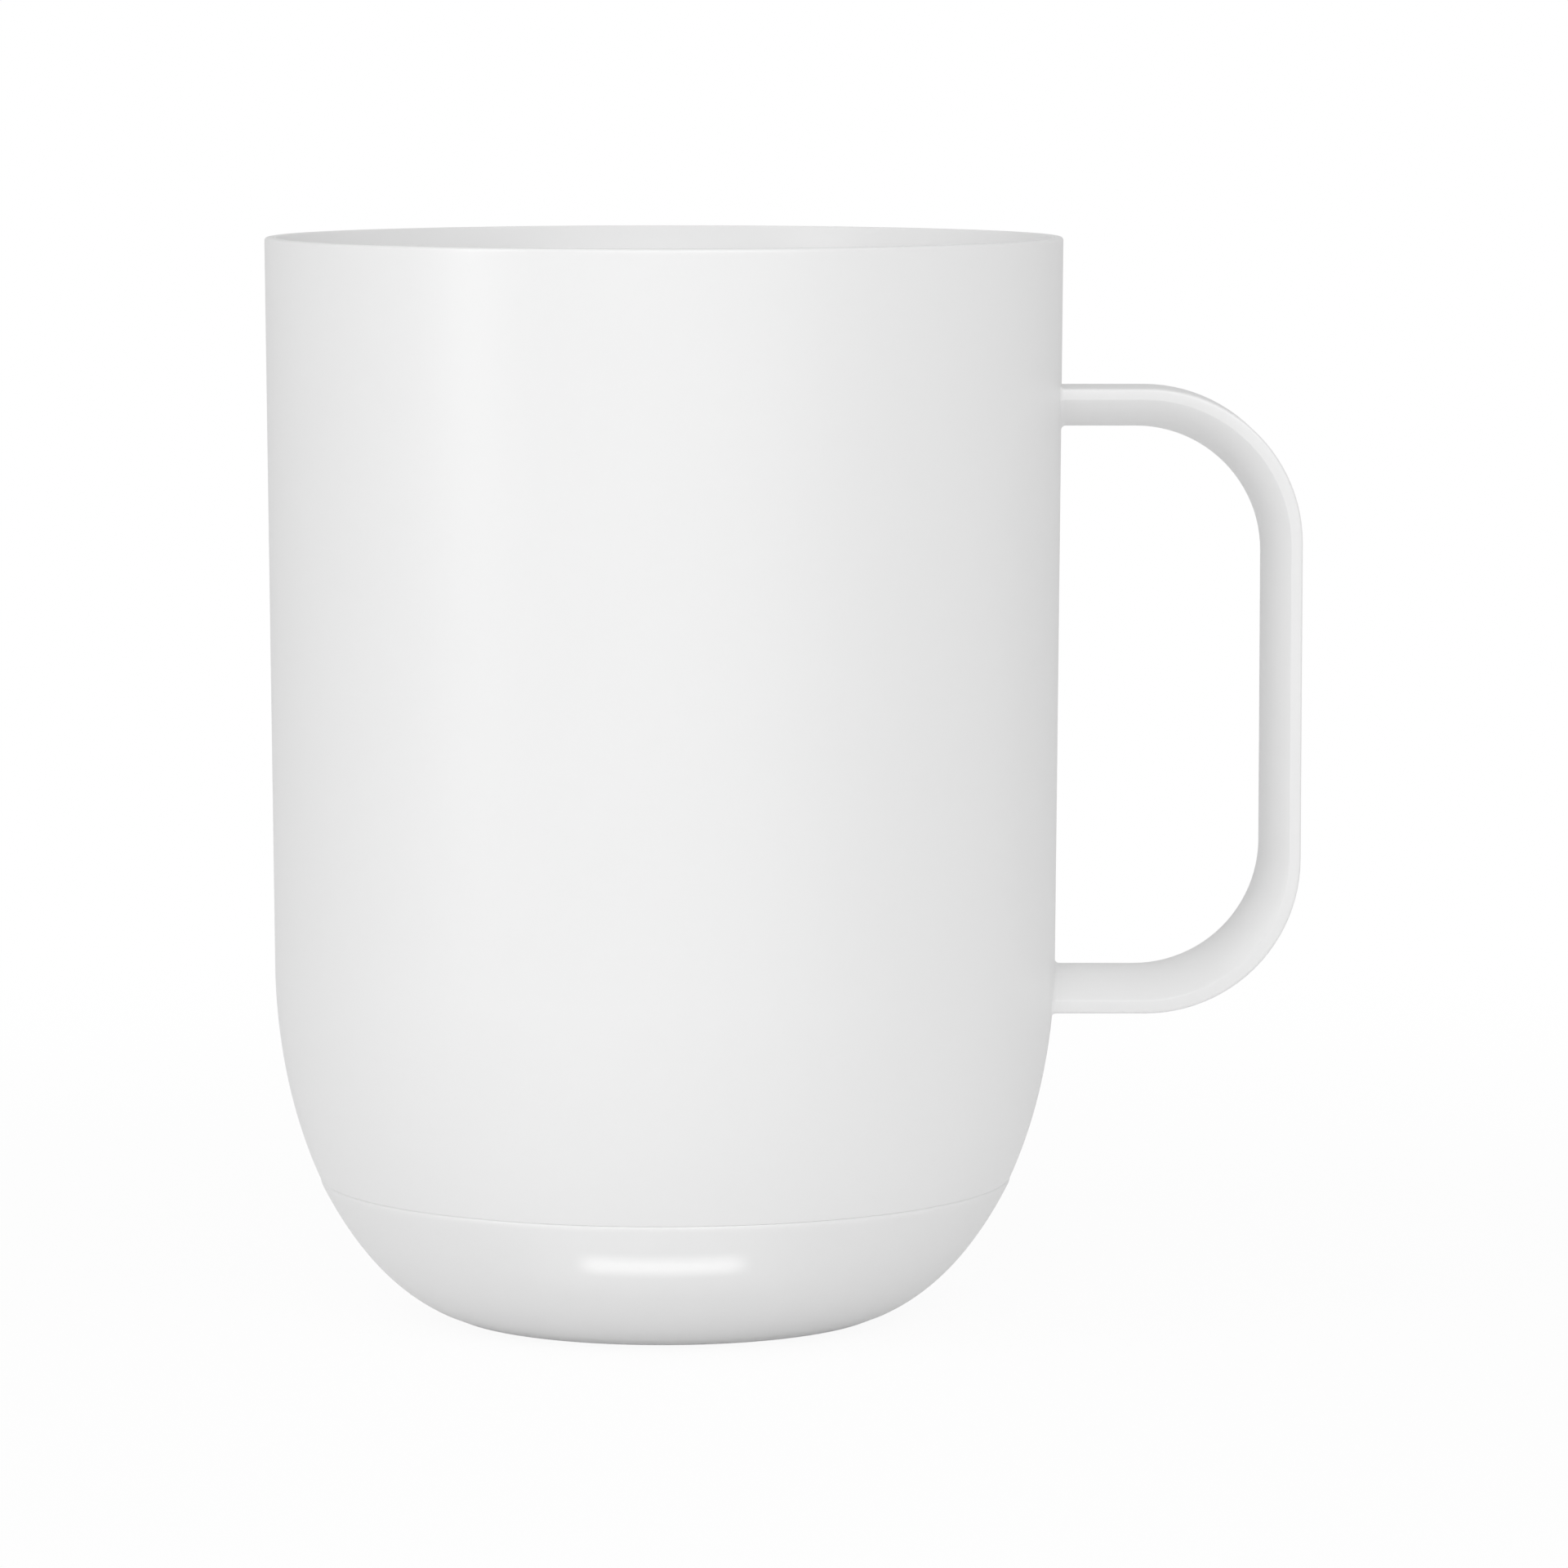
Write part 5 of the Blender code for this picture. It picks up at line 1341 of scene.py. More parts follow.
@dataclass
class Underside:
    """The bottom cover, its charging rings and the power button.

    Fields:
        small: how round small edges are.
        bore: radius of the cover's hole.
        flange, cover_radius: where the cover's flange starts, and its radius below that.
        groove_top, ring_gap: top of the rings' grooves, and their play.
        ring_widths: width of the outer and of the inner ring.
        button_radius, flange_low, flange_high, post: the button's size, its flange and its post.
        bevel, dish_start, dish: how far its edge and its dish lie inside its radius, and the dish's depth.
        boot_wall, fold, fold_step, room: the boot's wall, its folds and the room under it.
    """

    small: float = 0.1 * MM
    bore: float = 4.8 * MM
    flange: float = 3.7 * MM
    cover_radius: float = 15.14 * MM
    groove_top: float = 1.4 * MM
    ring_gap: float = 0.1 * MM
    ring_widths: Pair = (2.21 * MM, 2.02 * MM)
    button_radius: float = 4.5 * MM
    flange_low: float = 5.0 * MM
    flange_high: float = 5.8 * MM
    post: float = 1.5 * MM
    bevel: float = 1.1 * MM
    dish_start: float = 1.6 * MM
    dish: float = 0.25 * MM
    boot_wall: float = 1.0 * MM
    fold: float = 0.3 * MM
    fold_step: float = 0.32 * MM
    room: float = 0.35 * MM

    def build(self) -> None:
        """Build and settle the pieces."""
        names = ("contact_ring_outer", "contact_ring_inner")
        rings = []
        for name, width in zip(names, self.ring_widths):
            outer = Box.of(name).high.y
            rings.append((outer - width, outer))
        settle(self.cover(rings), ["bottom_cover"])
        for name, (inner, outer) in zip(names, rings):
            settle(self.contact(name, inner, outer), [name])
        settle(self.button(), ["power_button"], Body.BUTTON)
        settle(self.boot(), ["button_boot"])

    def cover(self, rings: Sequence[Place]) -> bpy.types.Object:
        """Turn the cover with a groove for each ring."""
        box, small, gap, shelf = Box.of("bottom_cover"), self.small, self.ring_gap, self.groove_top
        bottom, top, edge = box.low.z, box.high.z, box.high.y
        side, flange = self.cover_radius, self.flange
        corners: list[Corner] = [(self.bore, top, small), (edge, top, small), (edge, flange, small),
                                 (side, flange, 0.0), (side, bottom, 2 * small)]
        for inner, outer in rings:
            corners += [(outer + gap, bottom, small), (outer + gap, shelf, 0.0), (inner - gap, shelf, 0.0),
                        (inner - gap, bottom, small)]
        corners.append((self.bore, bottom, 2 * small))
        return turn("cover_disc", corners, COVER_PLASTIC)

    def contact(self, name: str, inner: float, outer: float) -> bpy.types.Object:
        """Turn a charging ring with softened edges."""
        box, edge = Box.of(name), 1.5 * self.small
        low, high = box.low.z, box.high.z
        corners = [(inner, high, 0.0), (outer, high, 0.0), (outer, low, edge), (inner, low, edge)]
        return turn(name.replace("contact_ring", "gold_ring"), corners, GOLD)

    def button(self) -> bpy.types.Object:
        """Turn the power button, with a shallow dish for the fingertip."""
        box, small, radius = Box.of("power_button"), self.small, self.button_radius
        bottom, top, rim = box.low.z, box.high.z, box.high.y
        corners = [(0.0, top, 0.0), (self.post, top, small), (self.post, self.flange_high, small),
                   (rim, self.flange_high, small), (rim, self.flange_low, small),
                   (radius, self.flange_low, 0.0), (radius, bottom, 4 * small),
                   (radius - self.bevel, bottom, 6 * small),
                   (radius - self.dish_start, bottom + self.dish, 6 * small), (0.0, bottom + self.dish, 0.0)]
        return turn("button_cap", corners, COVER_PLASTIC, closed=False, segments=96)

    def boot(self) -> bpy.types.Object:
        """Turn the folded rubber sleeve over the button, which leaves room for its travel."""
        box, small = Box.of("button_boot"), self.small
        inner, outer = box.high.y - self.boot_wall, box.high.y
        top, bottom = box.high.z, box.low.z + self.room
        corners: list[Corner] = [(inner, top, small), (outer, top, small)]
        for number in range(2, 7):
            inset = self.fold if number % 2 else 0.0
            corners.append((outer - inset, top - number * self.fold_step, small))
        corners += [(outer, bottom, small), (inner, bottom, small)]
        return turn("boot_sleeve", corners, RUBBER, segments=96)


# The inside
@dataclass(frozen=True)
class Chip:
    """A flat chip on bent legs.

    Fields:
        node: the node that it stands for.
        sides: sides with legs.
        legs: legs on each side.
        pitch: space between legs.
        leg_width: width of a leg.
        turn_by: direction of the first side with legs.
        lift, fillet: how high the case stands and how round its edges are.
        dot_radius, dot_depth, dot_inset: the round mark in the case's corner.
        root, knee, heel, toe: where a leg starts, bends down, reaches the board and ends.
        thickness, slant: a leg's thickness, and how far its upper bends lie outside its lower ones.
    """

    node: str
    sides: int
    legs: int
    pitch: float
    leg_width: float
    turn_by: float = 0.0
    lift: float = 0.12 * MM
    fillet: float = 0.10 * MM
    dot_radius: float = 0.35 * MM
    dot_depth: float = 0.10 * MM
    dot_inset: float = 0.95 * MM
    root: float = -0.10 * MM
    knee: float = 0.18 * MM
    heel: float = 0.42 * MM
    toe: float = 0.85 * MM
    thickness: float = 0.14 * MM
    slant: float = 0.08 * MM

    def build(self, top: float) -> None:
        """Build and settle the case and its legs."""
        box = Box.of(self.node)
        low, high = box.low, box.high
        bottom = top + self.lift
        case = assemble(self.node + "_case", [block((low.x, low.y, bottom), high, self.fillet)], DARK_RESIN)
        bore(case, DARK_RESIN, self.dot_radius, high.z - self.dot_depth, high.z + self.dot_depth,
             [(low.x + self.dot_inset, high.y - self.dot_inset)], 24)
        settle(case, [self.node])
        middle, thick = (bottom + high.z) / 2 - top, self.thickness
        view = [(self.root, middle), (self.knee, middle), (self.heel, 0.0), (self.toe, 0.0),
                (self.toe, thick), (self.heel + self.slant, thick),
                (self.knee + self.slant, middle + thick), (self.root, middle + thick)]
        reach = (high.y - low.y) / 2 if self.sides == 2 else (high.x - low.x) / 2
        legs = ranks(self.node + "_legs", strip(view, self.leg_width), TIN, (*box.centre, top), reach,
                     self.sides, self.legs, self.pitch, self.turn_by)
        settle(legs)


@dataclass(frozen=True)
class Module:
    """The radio module: a small board with a metal can, an aerial and plated edges.

    Fields:
        node: the node that it stands for.
        thickness, fillet: the small board's.
        inset, depth, can_fillet: how far the can stays inside the board, its depth and its edges.
        bars, step, run, width, copper: the aerial's bars, their spacing, length, width and height.
        left, gap: where the aerial starts, beside the board's edge and behind the can.
        pads, pitch, back: plated edges on each side, their spacing and how far their middle is set back.
        pad_in, pad_out, pad_half: how far a pad reaches in, out and to each side.
    """

    node: str = "radio_module"
    thickness: float = 0.55 * MM
    fillet: float = 0.05 * MM
    inset: float = 0.3 * MM
    depth: float = 7.1 * MM
    can_fillet: float = 0.3 * MM
    bars: int = 8
    step: float = 1.5 * MM
    run: float = 1.7 * MM
    width: float = 0.35 * MM
    copper: float = 0.04 * MM
    left: float = 1.4 * MM
    gap: float = 0.6 * MM
    pads: int = 6
    pitch: float = 1.25 * MM
    back: float = 1.0 * MM
    pad_in: float = 0.25 * MM
    pad_out: float = 0.06 * MM
    pad_half: float = 0.35 * MM

    def build(self, top: float) -> None:
        """Build and settle its pieces."""
        box = Box.of(self.node)
        low, high, shelf = box.low, box.high, top + self.thickness
        base = block((low.x, low.y, top), (high.x, high.y, shelf), self.fillet)
        settle(assemble("module_board", [base], MASK_GREEN), [self.node])
        can = block((low.x + self.inset, low.y + self.inset, shelf),
                    (high.x - self.inset, low.y + self.depth, high.z), self.can_fillet, 4)
        settle(assemble("module_can", [can], SHEET_STEEL))
        settle(self.aerial(low.x + self.left, low.y + self.depth + self.gap, shelf))
        pad = block((-self.pad_in, -self.pad_half, 0.0),
                    (self.pad_out, self.pad_half, self.thickness + self.copper), self.copper, 2)
        centre = (box.centre[0], box.centre[1] - self.back, top)
        settle(ranks("module_pads", pad, GOLD, centre, (high.x - low.x) / 2, 2, self.pads, self.pitch))

    def aerial(self, left: float, front: float, shelf: float) -> bpy.types.Object:
        """Lay the winding aerial from its left front end."""
        width, raised, edge = self.width, shelf + self.copper, self.copper / 4
        bars = []
        for number in range(self.bars):
            x = left + self.step * number
            bars.append(block((x, front, shelf), (x + width, front + self.run, raised), edge, 1))
            if number < self.bars - 1:
                y = front if number % 2 else front + self.run - width
                bars.append(block((x + width, y, shelf), (x + self.step, y + width, raised), edge, 1))
        return assemble("module_aerial", bars, GOLD)


@dataclass(frozen=True)
class Inductor:
    """The moulded inductor with its two end plates.

    Fields:
        node: the node that it stands for.
        lift, fillet: how high the body stands and how round its edges are.
        dish, dish_depth, over: radius and depth of the dish on top, and how far its cutter stands out.
        plate_in, plate_out, plate_half, plate_height, plate_fillet: the size of an end plate.
    """

    node: str = "power_inductor"
    lift: float = 0.15 * MM
    fillet: float = 0.45 * MM
    dish: float = 2.6 * MM
    dish_depth: float = 0.15 * MM
    over: float = 0.5 * MM
    plate_in: float = 0.9 * MM
    plate_out: float = 0.16 * MM
    plate_half: float = 1.7 * MM
    plate_height: float = 1.1 * MM
    plate_fillet: float = 0.06 * MM

    def build(self, top: float) -> None:
        """Build and settle its body and its plates."""
        box = Box.of(self.node)
        low, high = box.low, box.high
        case = block((low.x, low.y, top + self.lift), high, self.fillet, 4)
        body = assemble("inductor_body", [case], FERRITE)
        bore(body, FERRITE, self.dish, high.z - self.dish_depth, high.z + self.over, [box.centre], 64)
        settle(body, [self.node])
        plate = block((-self.plate_in, -self.plate_half, 0.0),
                      (self.plate_out, self.plate_half, self.plate_height), self.plate_fillet, 2)
        settle(ranks("inductor_ends", plate, TIN, (*box.centre, top), (high.x - low.x) / 2, 2))


@dataclass(frozen=True)
class Capacitor:
    """A capacitor: a dark seat and a can with a rolled groove.

    Fields:
        node: the node that it stands for.
        seat: height of the seat.
        radius, edge: the can's, and how round the can's and the seat's edges are.
        groove, groove_half, groove_depth: where the groove is above the seat, and its size.
    """

    node: str
    seat: float = 0.7 * MM
    radius: float = 1.85 * MM
    edge: float = 0.12 * MM
    groove: float = 0.55 * MM
    groove_half: float = 0.22 * MM
    groove_depth: float = 0.2 * MM

    def build(self, top: float) -> None:
        """Build and settle the seat and the can."""
        box = Box.of(self.node)
        low, high, radius, edge = box.low, box.high, self.radius, self.edge
        shelf = top + self.seat
        seat = block((low.x, low.y, top), (high.x, high.y, shelf), edge)
        settle(assemble(self.node + "_seat", [seat], DARK_RESIN))
        groove = shelf + self.groove
        corners = [(0.0, shelf, 0.0), (radius, shelf, edge), (radius, groove - self.groove_half, edge),
                   (radius - self.groove_depth, groove, edge), (radius, groove + self.groove_half, edge),
                   (radius, high.z, 2 * edge), (0.0, high.z, 0.0)]
        can = turn(self.node + "_can", corners, CAN_METAL, closed=False, segments=64, centre=box.centre)
        settle(can, [self.node])


@dataclass(frozen=True)
class Connector:
    """A connector with a hole and a sleeve for each of its two leads.

    Fields:
        node: the node that it stands for.
        spacing: distance of each lead from its middle.
        fillet, latch_fillet: how round the edges of its body and its latch are.
        latch_in, latch_out, latch_half, latch_low, latch_high: the latch's reach, width and depths.
        hole, web: the widest hole, and the least wall to the middle.
        deep: depth of the holes.
        wall, play: a sleeve's wall and its play in the hole.
        stand, mouth: how far a sleeve stands out, and how round its end is.
    """

    node: str
    spacing: float
    fillet: float = 0.25 * MM
    latch_fillet: float = 0.15 * MM
    latch_in: float = 0.3 * MM
    latch_out: float = 0.35 * MM
    latch_half: float = 1.0 * MM
    latch_low: float = 1.6 * MM
    latch_high: float = 0.4 * MM
    hole: float = 0.9 * MM
    web: float = 0.05 * MM
    deep: float = 1.6 * MM
    wall: float = 0.27 * MM
    play: float = 0.05 * MM
    stand: float = 0.7 * MM
    mouth: float = 0.08 * MM

    def build(self, top: float) -> None:
        """Build and settle the body and its two sleeves."""
        box = Box.of(self.node)
        low, high = box.low, box.high
        x, y = box.centre
        latch = block((high.x - self.latch_in, y - self.latch_half, high.z - self.latch_low),
                      (high.x + self.latch_out, y + self.latch_half, high.z - self.latch_high),
                      self.latch_fillet)
        body = assemble(self.node + "_body", [block((low.x, low.y, top), high, self.fillet), latch],
                        CONNECTOR_PLASTIC)
        hole = min(self.hole, self.spacing - self.web)
        places = [(x, y - self.spacing), (x, y + self.spacing)]
        bore(body, CONNECTOR_PLASTIC, hole, high.z - self.deep, high.z + self.deep, places, 32,
             overlapping=True)
        settle(body, [self.node])
        inner, outer = hole - self.wall, hole - self.play
        start, end = high.z - self.deep + self.play, high.z + self.stand
        ring = [(inner, end, 0.0), (outer, end, self.mouth), (outer, start, 0.0), (inner, start, 0.0)]
        for side, place in zip(("left", "right"), places):
            sleeve = turn(f"{self.node}_sleeve_{side}", ring, DARK_RESIN, segments=32, centre=place)
            settle(sleeve)


@dataclass(frozen=True)
class SmallParts:
    """Ceramic capacitors round the controller.

    Fields:
        around: the node that they stand around.
        reach, count, pitch: their distance from its middle, how many on each side and their spacing.
        length, width, low, high: half the length, half the width and the heights of a body.
        cap, cap_place, lap: half an end's length, where it is, and how far it laps over the body.
        fillet: how round the edges are.
    """

    around: str = "controller_chip"
    reach: float = 5.55 * MM
    count: int = 3
    pitch: float = 1.9 * MM
    length: float = 0.5 * MM
    width: float = 0.25 * MM
    low: float = 0.01 * MM
    high: float = 0.46 * MM
    cap: float = 0.13 * MM
    cap_place: float = 0.41 * MM
    lap: float = 0.02 * MM
    fillet: float = 0.05 * MM

    def build(self, top: float) -> None:
        """Build and settle the bodies and their ends."""
        body = block((-self.length, -self.width, self.low), (self.length, self.width, self.high),
                     self.fillet, 2)
        width = self.width + self.lap
        ends = assemble("end_source", [
            block((middle - self.cap, -width, 0.0), (middle + self.cap, width, self.high + self.lap),
                  self.fillet, 2)
            for middle in (-self.cap_place, self.cap_place)], TIN)
        spread = {"centre": (*Box.of(self.around).centre, top), "reach": self.reach, "sides": 4,
                  "count": self.count, "pitch": self.pitch}
        settle(ranks("small_part_bodies", body, CERAMIC, **spread))
        settle(ranks("small_part_ends", loose(ends), TIN, **spread))


Part = Chip | Module | Inductor | Capacitor | Connector | SmallParts


@dataclass
class Board:
    """What stands on the main board."""

    top: float = 10.12 * MM
    parts: tuple[Part, ...] = (
        Chip("controller_chip", 4, 9, 0.65 * MM, 0.28 * MM),
        Chip("charger_chip", 4, 5, 0.80 * MM, 0.32 * MM),
        Chip("heater_transistor_1", 2, 4, 1.15 * MM, 0.50 * MM, math.pi / 2),
        Chip("heater_transistor_2", 2, 4, 1.15 * MM, 0.50 * MM, math.pi / 2),
        Module(),
        Inductor(),
        Capacitor("capacitor_1"),
        Capacitor("capacitor_2"),
        Capacitor("capacitor_3"),
        Connector("battery_connector", 1.3 * MM),
        Connector("heater_connector", 1.3 * MM),
        Connector("sensor_connector", 0.85 * MM),
        SmallParts(),
    )

    def build(self) -> None:
        """Build and settle each component."""
        for part in self.parts:
            part.build(self.top)


@dataclass
class Screws:
    """The screws of the base, the frame and the board."""

    head_radius: float = 1.9 * MM
    head_height: float = 0.9 * MM
    head_round: float = 0.3 * MM
    small: float = 0.1 * MM
    radius: float = 0.9 * MM
    core: float = 0.70 * MM
    pitch: float = 0.55 * MM
    tip: float = 0.4 * MM
    drive_radius: float = 1.05 * MM
    drive_depth: float = 0.5 * MM

    def build(self) -> None:
        """Build and settle each set of screws."""
        self.ring("base_screw", 3, 30.0)
        self.ring("frame_screw", 3, 90.0)
        box = Box.of("board_screw_1")
        x, y = box.centre
        screws = ranks("board_screws", self.screw(box.high.z - box.low.z), SCREW_STEEL,
                       (AXIS_X, y, box.low.z), AXIS_X - x, 2)
        settle(screws, ["board_screw_1", "board_screw_2"])

    def ring(self, name: str, count: int, start: float) -> None:
        """Build a ring of screws about the cup's axis.

        Args:
            name: first part of the nodes' names.
            count: number of screws.
            start: direction of the first one in degrees.
        """
        box = Box.of(name + "_1")
        x, y = box.centre
        screws = ranks(name + "s", self.screw(box.high.z - box.low.z), SCREW_STEEL, (*AXIS, box.low.z),
                       Vector((x - AXIS_X, y)).length, count, turn_by=math.radians(start))
        settle(screws, [f"{name}_{number + 1}" for number in range(count)])

    def screw(self, length: float) -> bpy.types.Mesh:
        """Return the mesh of a screw that stands on its head at the origin."""
        head, shank = self.head_height, length - self.tip
        corners: list[Corner] = [(0.0, 0.0, 0.0), (self.head_radius, 0.0, self.head_round),
                                 (self.head_radius, head, self.small), (self.radius, head, 0.0)]
        height = head + self.pitch
        while height + self.pitch < shank:
            corners += [(self.core, height - self.pitch / 2, 0.0), (self.radius, height, 0.0)]
            height += self.pitch
        corners += [(self.core, shank, 0.0), (self.core / 2, length, self.small), (0.0, length, 0.0)]
        form = turn("screw", corners, SCREW_STEEL, closed=False, segments=32, centre=ORIGIN, steps=3)
        bore(form, SCREW_STEEL, self.drive_radius, -self.drive_depth, self.drive_depth, [ORIGIN], 6)
        return loose(form)


@dataclass
class Cells:
    """The two lithium cells, with their rolled grooves, raised ends and washers."""

    radius: float = 9.15 * MM
    nub_radius: float = 2.8 * MM
    nub_slope: float = 0.15 * MM
    half: float = 17.65 * MM
    shoulder: float = 16.85 * MM
    rim: float = 7.4 * MM
    rim_depth: float = 0.3 * MM
    rim_slope: float = 0.1 * MM
    groove_place: float = 14.2 * MM
    groove_depth: float = 0.45 * MM
    edge: float = 0.6 * MM
    small: float = 0.05 * MM
    washer_inner: float = 3.3 * MM
    washer_outer: float = 7.2 * MM
    washer_height: float = 0.2 * MM

    def build(self) -> None:
        """Build and settle both cells, whose raised ends point to -X and to +X."""
        for name, side in (("front", -1), ("rear", 1)):
            node = f"battery_cell_{name}"
            placing = Matrix.Translation(Box.of(node).middle) @ Matrix.Rotation(side * math.pi / 2, 4, "Y")
            form = turn(f"cell_{name}", self.outline(), WRAP, closed=False, segments=96, centre=ORIGIN)
            settle(lay(form, placing), [node])
            washer = turn(f"cell_washer_{name}", self.washer(), CONNECTOR_PLASTIC, segments=64, centre=ORIGIN)
            settle(lay(washer, placing))

    def outline(self) -> list[Corner]:
        """Return the outline of a cell that stands on its flat end."""
        groove, deep, edge, half = self.groove_place, self.groove_depth, self.edge, self.half
        well, low = self.shoulder - self.rim_depth, self.rim_depth / 2 - half
        return [(0.0, half, 0.0), (self.nub_radius, half, edge / 2),
                (self.nub_radius + self.nub_slope, well, 0.0), (self.rim, well, 0.0),
                (self.rim, self.shoulder, self.small), (self.radius, self.shoulder, edge),
                (self.radius, groove + 2 * deep, edge), (self.radius - deep, groove, edge / 2),
                (self.radius, groove - 2 * deep, edge), (self.radius, -half, edge),
                (self.rim, -half, self.small), (self.rim - self.rim_slope, low, 0.0), (0.0, low, 0.0)]

    def washer(self) -> list[Corner]:
        """Return the outline of the washer round a cell's raised end."""
        inner, outer, small = self.washer_inner, self.washer_outer, self.small
        well = self.shoulder - self.rim_depth
        top = well + self.washer_height
        return [(inner, top, small), (outer, top, small), (outer, well, 0.0), (inner, well, 0.0)]


# Outlines of small turned parts about their middle: (radius, height, fillet) of each corner in millimetres
FUSE_OUTLINE = ((0.0, -3.5, 0.0), (0.25, -3.5, 0.1), (0.25, -2.4, 0.1), (0.8, -2.3, 0.1), (0.9, -2.1, 0.1),
                (0.9, 1.7, 0.1), (0.7, 1.8, 0.1), (0.35, 2.6, 0.1), (0.25, 2.7, 0.0), (0.25, 3.5, 0.1),
                (0.0, 3.5, 0.0))
BEAD_OUTLINE = ((0.0, -2.0, 0.0), (1.3, -2.0, 1.1), (1.3, 2.0, 0.6), (0.0, 2.0, 0.0))


@dataclass
class Sensing:
    """The fuse, the thermistors, the sprung pins and the switch.

    Fields:
        small: how round small edges are.
        puck_step, puck_round: the step for the round sensor's clip, and its soft lower edge.
        pin_barrel, pin_tip: radii of a sprung pin's barrel and tip.
        pin_foot, pin_collar, collar_width, pin_end: heights of its barrel, its collar and its end.
        switch_bore, switch_cover, switch_round, switch_inset: the switch's bore and its cover's size.
        film: a gap thin enough not to show.
        rivet, rivet_depth, rivet_reach: half the width of a rivet, its height and its distance.
        plunger_round, plunger_step: the plunger's end and the step above it.
    """

    small: float = 0.1 * MM
    puck_step: float = 0.3 * MM
    puck_round: float = 0.4 * MM
    pin_barrel: float = 0.6 * MM
    pin_tip: float = 0.36 * MM
    pin_foot: float = 1.5 * MM
    pin_collar: float = 3.6 * MM
    collar_width: float = 0.6 * MM
    pin_end: float = 0.5 * MM
    switch_bore: float = 1.9 * MM
    switch_cover: float = 0.16 * MM
    switch_round: float = 0.15 * MM
    switch_inset: float = 0.25 * MM
    cover_round: float = 0.05 * MM
    film: float = 0.01 * MM
    rivet: float = 0.3 * MM
    rivet_depth: float = 0.12 * MM
    rivet_reach: float = 3.2 * MM
    plunger_round: float = 0.3 * MM
    plunger_step: float = 0.5 * MM

    def build(self) -> None:
        """Build and settle each one."""
        self.across("fuse", "thermal_fuse", FUSE_OUTLINE, CAN_METAL, Slot.STEEL)
        self.across("cell_bead", "battery_thermistor", BEAD_OUTLINE, DARK_RESIN, Slot.DARK, steps=8)
        self.puck()
        for side in ("inner", "outer"):
            self.pin(side)
        self.switch()
        self.plunger()

    @staticmethod
    def across(name: str, node: str, outline: Sequence[Corner], finish: Finish, slot: Slot,
               steps: int = 5) -> None:
        """Turn a small part and lay it along X at its node's middle.

        Args:
            name: name of the piece.
            node: the node that it stands for.
            outline: its corners in millimetres.
            finish: its finish.
            slot: the record's slot of that finish; not used.
            steps: pieces in each fillet.
        """
        corners = [tuple(part * MM for part in corner) for corner in outline]
        form = turn(name, corners, finish, closed=False, segments=48, centre=ORIGIN, steps=steps)
        placing = Matrix.Translation(Box.of(node).middle) @ Matrix.Rotation(math.pi / 2, 4, "Y")
        settle(lay(form, placing), [node])

    def puck(self) -> None:
        """Build the round sensor under the cup, with a soft lower edge and a step for its clip."""
        box = Box.of("cup_thermistor")
        bottom, top, radius, small = box.low.z, box.high.z, box.high.y, self.small
        neck, step = radius - self.puck_step, top - 2 * self.puck_step
        corners = [(0.0, bottom, 0.0), (neck, bottom, self.puck_round), (neck, step, small),
                   (radius, step, small), (radius, top, small), (0.0, top, 0.0)]
        puck = turn("cup_puck", corners, DARK_RESIN, closed=False, segments=64)
        settle(puck, ["cup_thermistor"])

    def pin(self, side: str) -> None:
        """Build a sprung pin: a round tip in a barrel with a collar."""
        box = Box.of(f"contact_pin_{side}")
        barrel, tip, small = self.pin_barrel, self.pin_tip, self.small
        base, top, neck, end = box.low.z, box.high.z, barrel - small, barrel - 3 * small
        foot, low = base + self.pin_foot, base + self.pin_collar
        high = low + small + self.collar_width
        corners = [(0.0, base, 0.0), (tip, base, 3 * small), (tip, foot, 0.0), (neck, foot, small),
                   (neck, low, 0.0), (barrel, low + small, 0.0), (barrel, high, 0.0),
                   (neck, high + small, 0.0), (neck, top - self.pin_end, small),
                   (end, top - 3 * small, 0.0), (end, top, small), (0.0, top, 0.0)]
        pin = turn(f"sprung_pin_{side}", corners, GOLD, closed=False, segments=48, centre=box.centre)
        settle(pin, [f"contact_pin_{side}"])

    def switch(self) -> None:
        """Build the switch: a moulded body with a bore, its steel cover and four rivets."""
        box = Box.of("switch_body")
        low, high, cover, inset = box.low, box.high, self.switch_cover, self.switch_inset
        face = low.z - self.film
        body = assemble("switch_case", [block(low, high, self.switch_round)], DARK_RESIN)
        plate = assemble("switch_cover", [block((low.x + inset, low.y + inset, low.z - cover - self.film),
                                                (high.x - inset, high.y - inset, face),
                                                self.cover_round, 2)], SHEET_STEEL)
        for piece, finish, slot, replaced in ((body, DARK_RESIN, Slot.DARK, ["switch_body"]),
                                              (plate, SHEET_STEEL, Slot.STEEL, [])):
            bore(piece, finish, self.switch_bore, low.z - cover * 3, high.z + cover, [AXIS], 48)
            settle(piece, replaced)
        half = self.rivet
        rivet = block((-half, -half, -self.rivet_depth), (half, half, 0.0), self.small, 3)
        settle(ranks("switch_rivets", rivet, DARK_RESIN, (*AXIS, low.z - cover - self.film),
                     self.rivet_reach, 4, turn_by=math.pi / 4))

    def plunger(self) -> None:
        """Build the switch's plunger with its rounded end."""
        box = Box.of("switch_plunger")
        bottom, top, radius, tip = box.low.z, box.high.z, box.high.y, self.plunger_round
        step = bottom + self.plunger_step
        corners = [(0.0, bottom, 0.0), (radius - tip, bottom, tip), (radius - tip / 2, step, 0.0),
                   (radius, step + self.small, 0.0), (radius, top, self.small), (0.0, top, 0.0)]
        cap = turn("plunger_cap", corners, FRAME_PLASTIC, closed=False, segments=48)
        settle(cap, ["switch_plunger"], Body.PLUNGER)


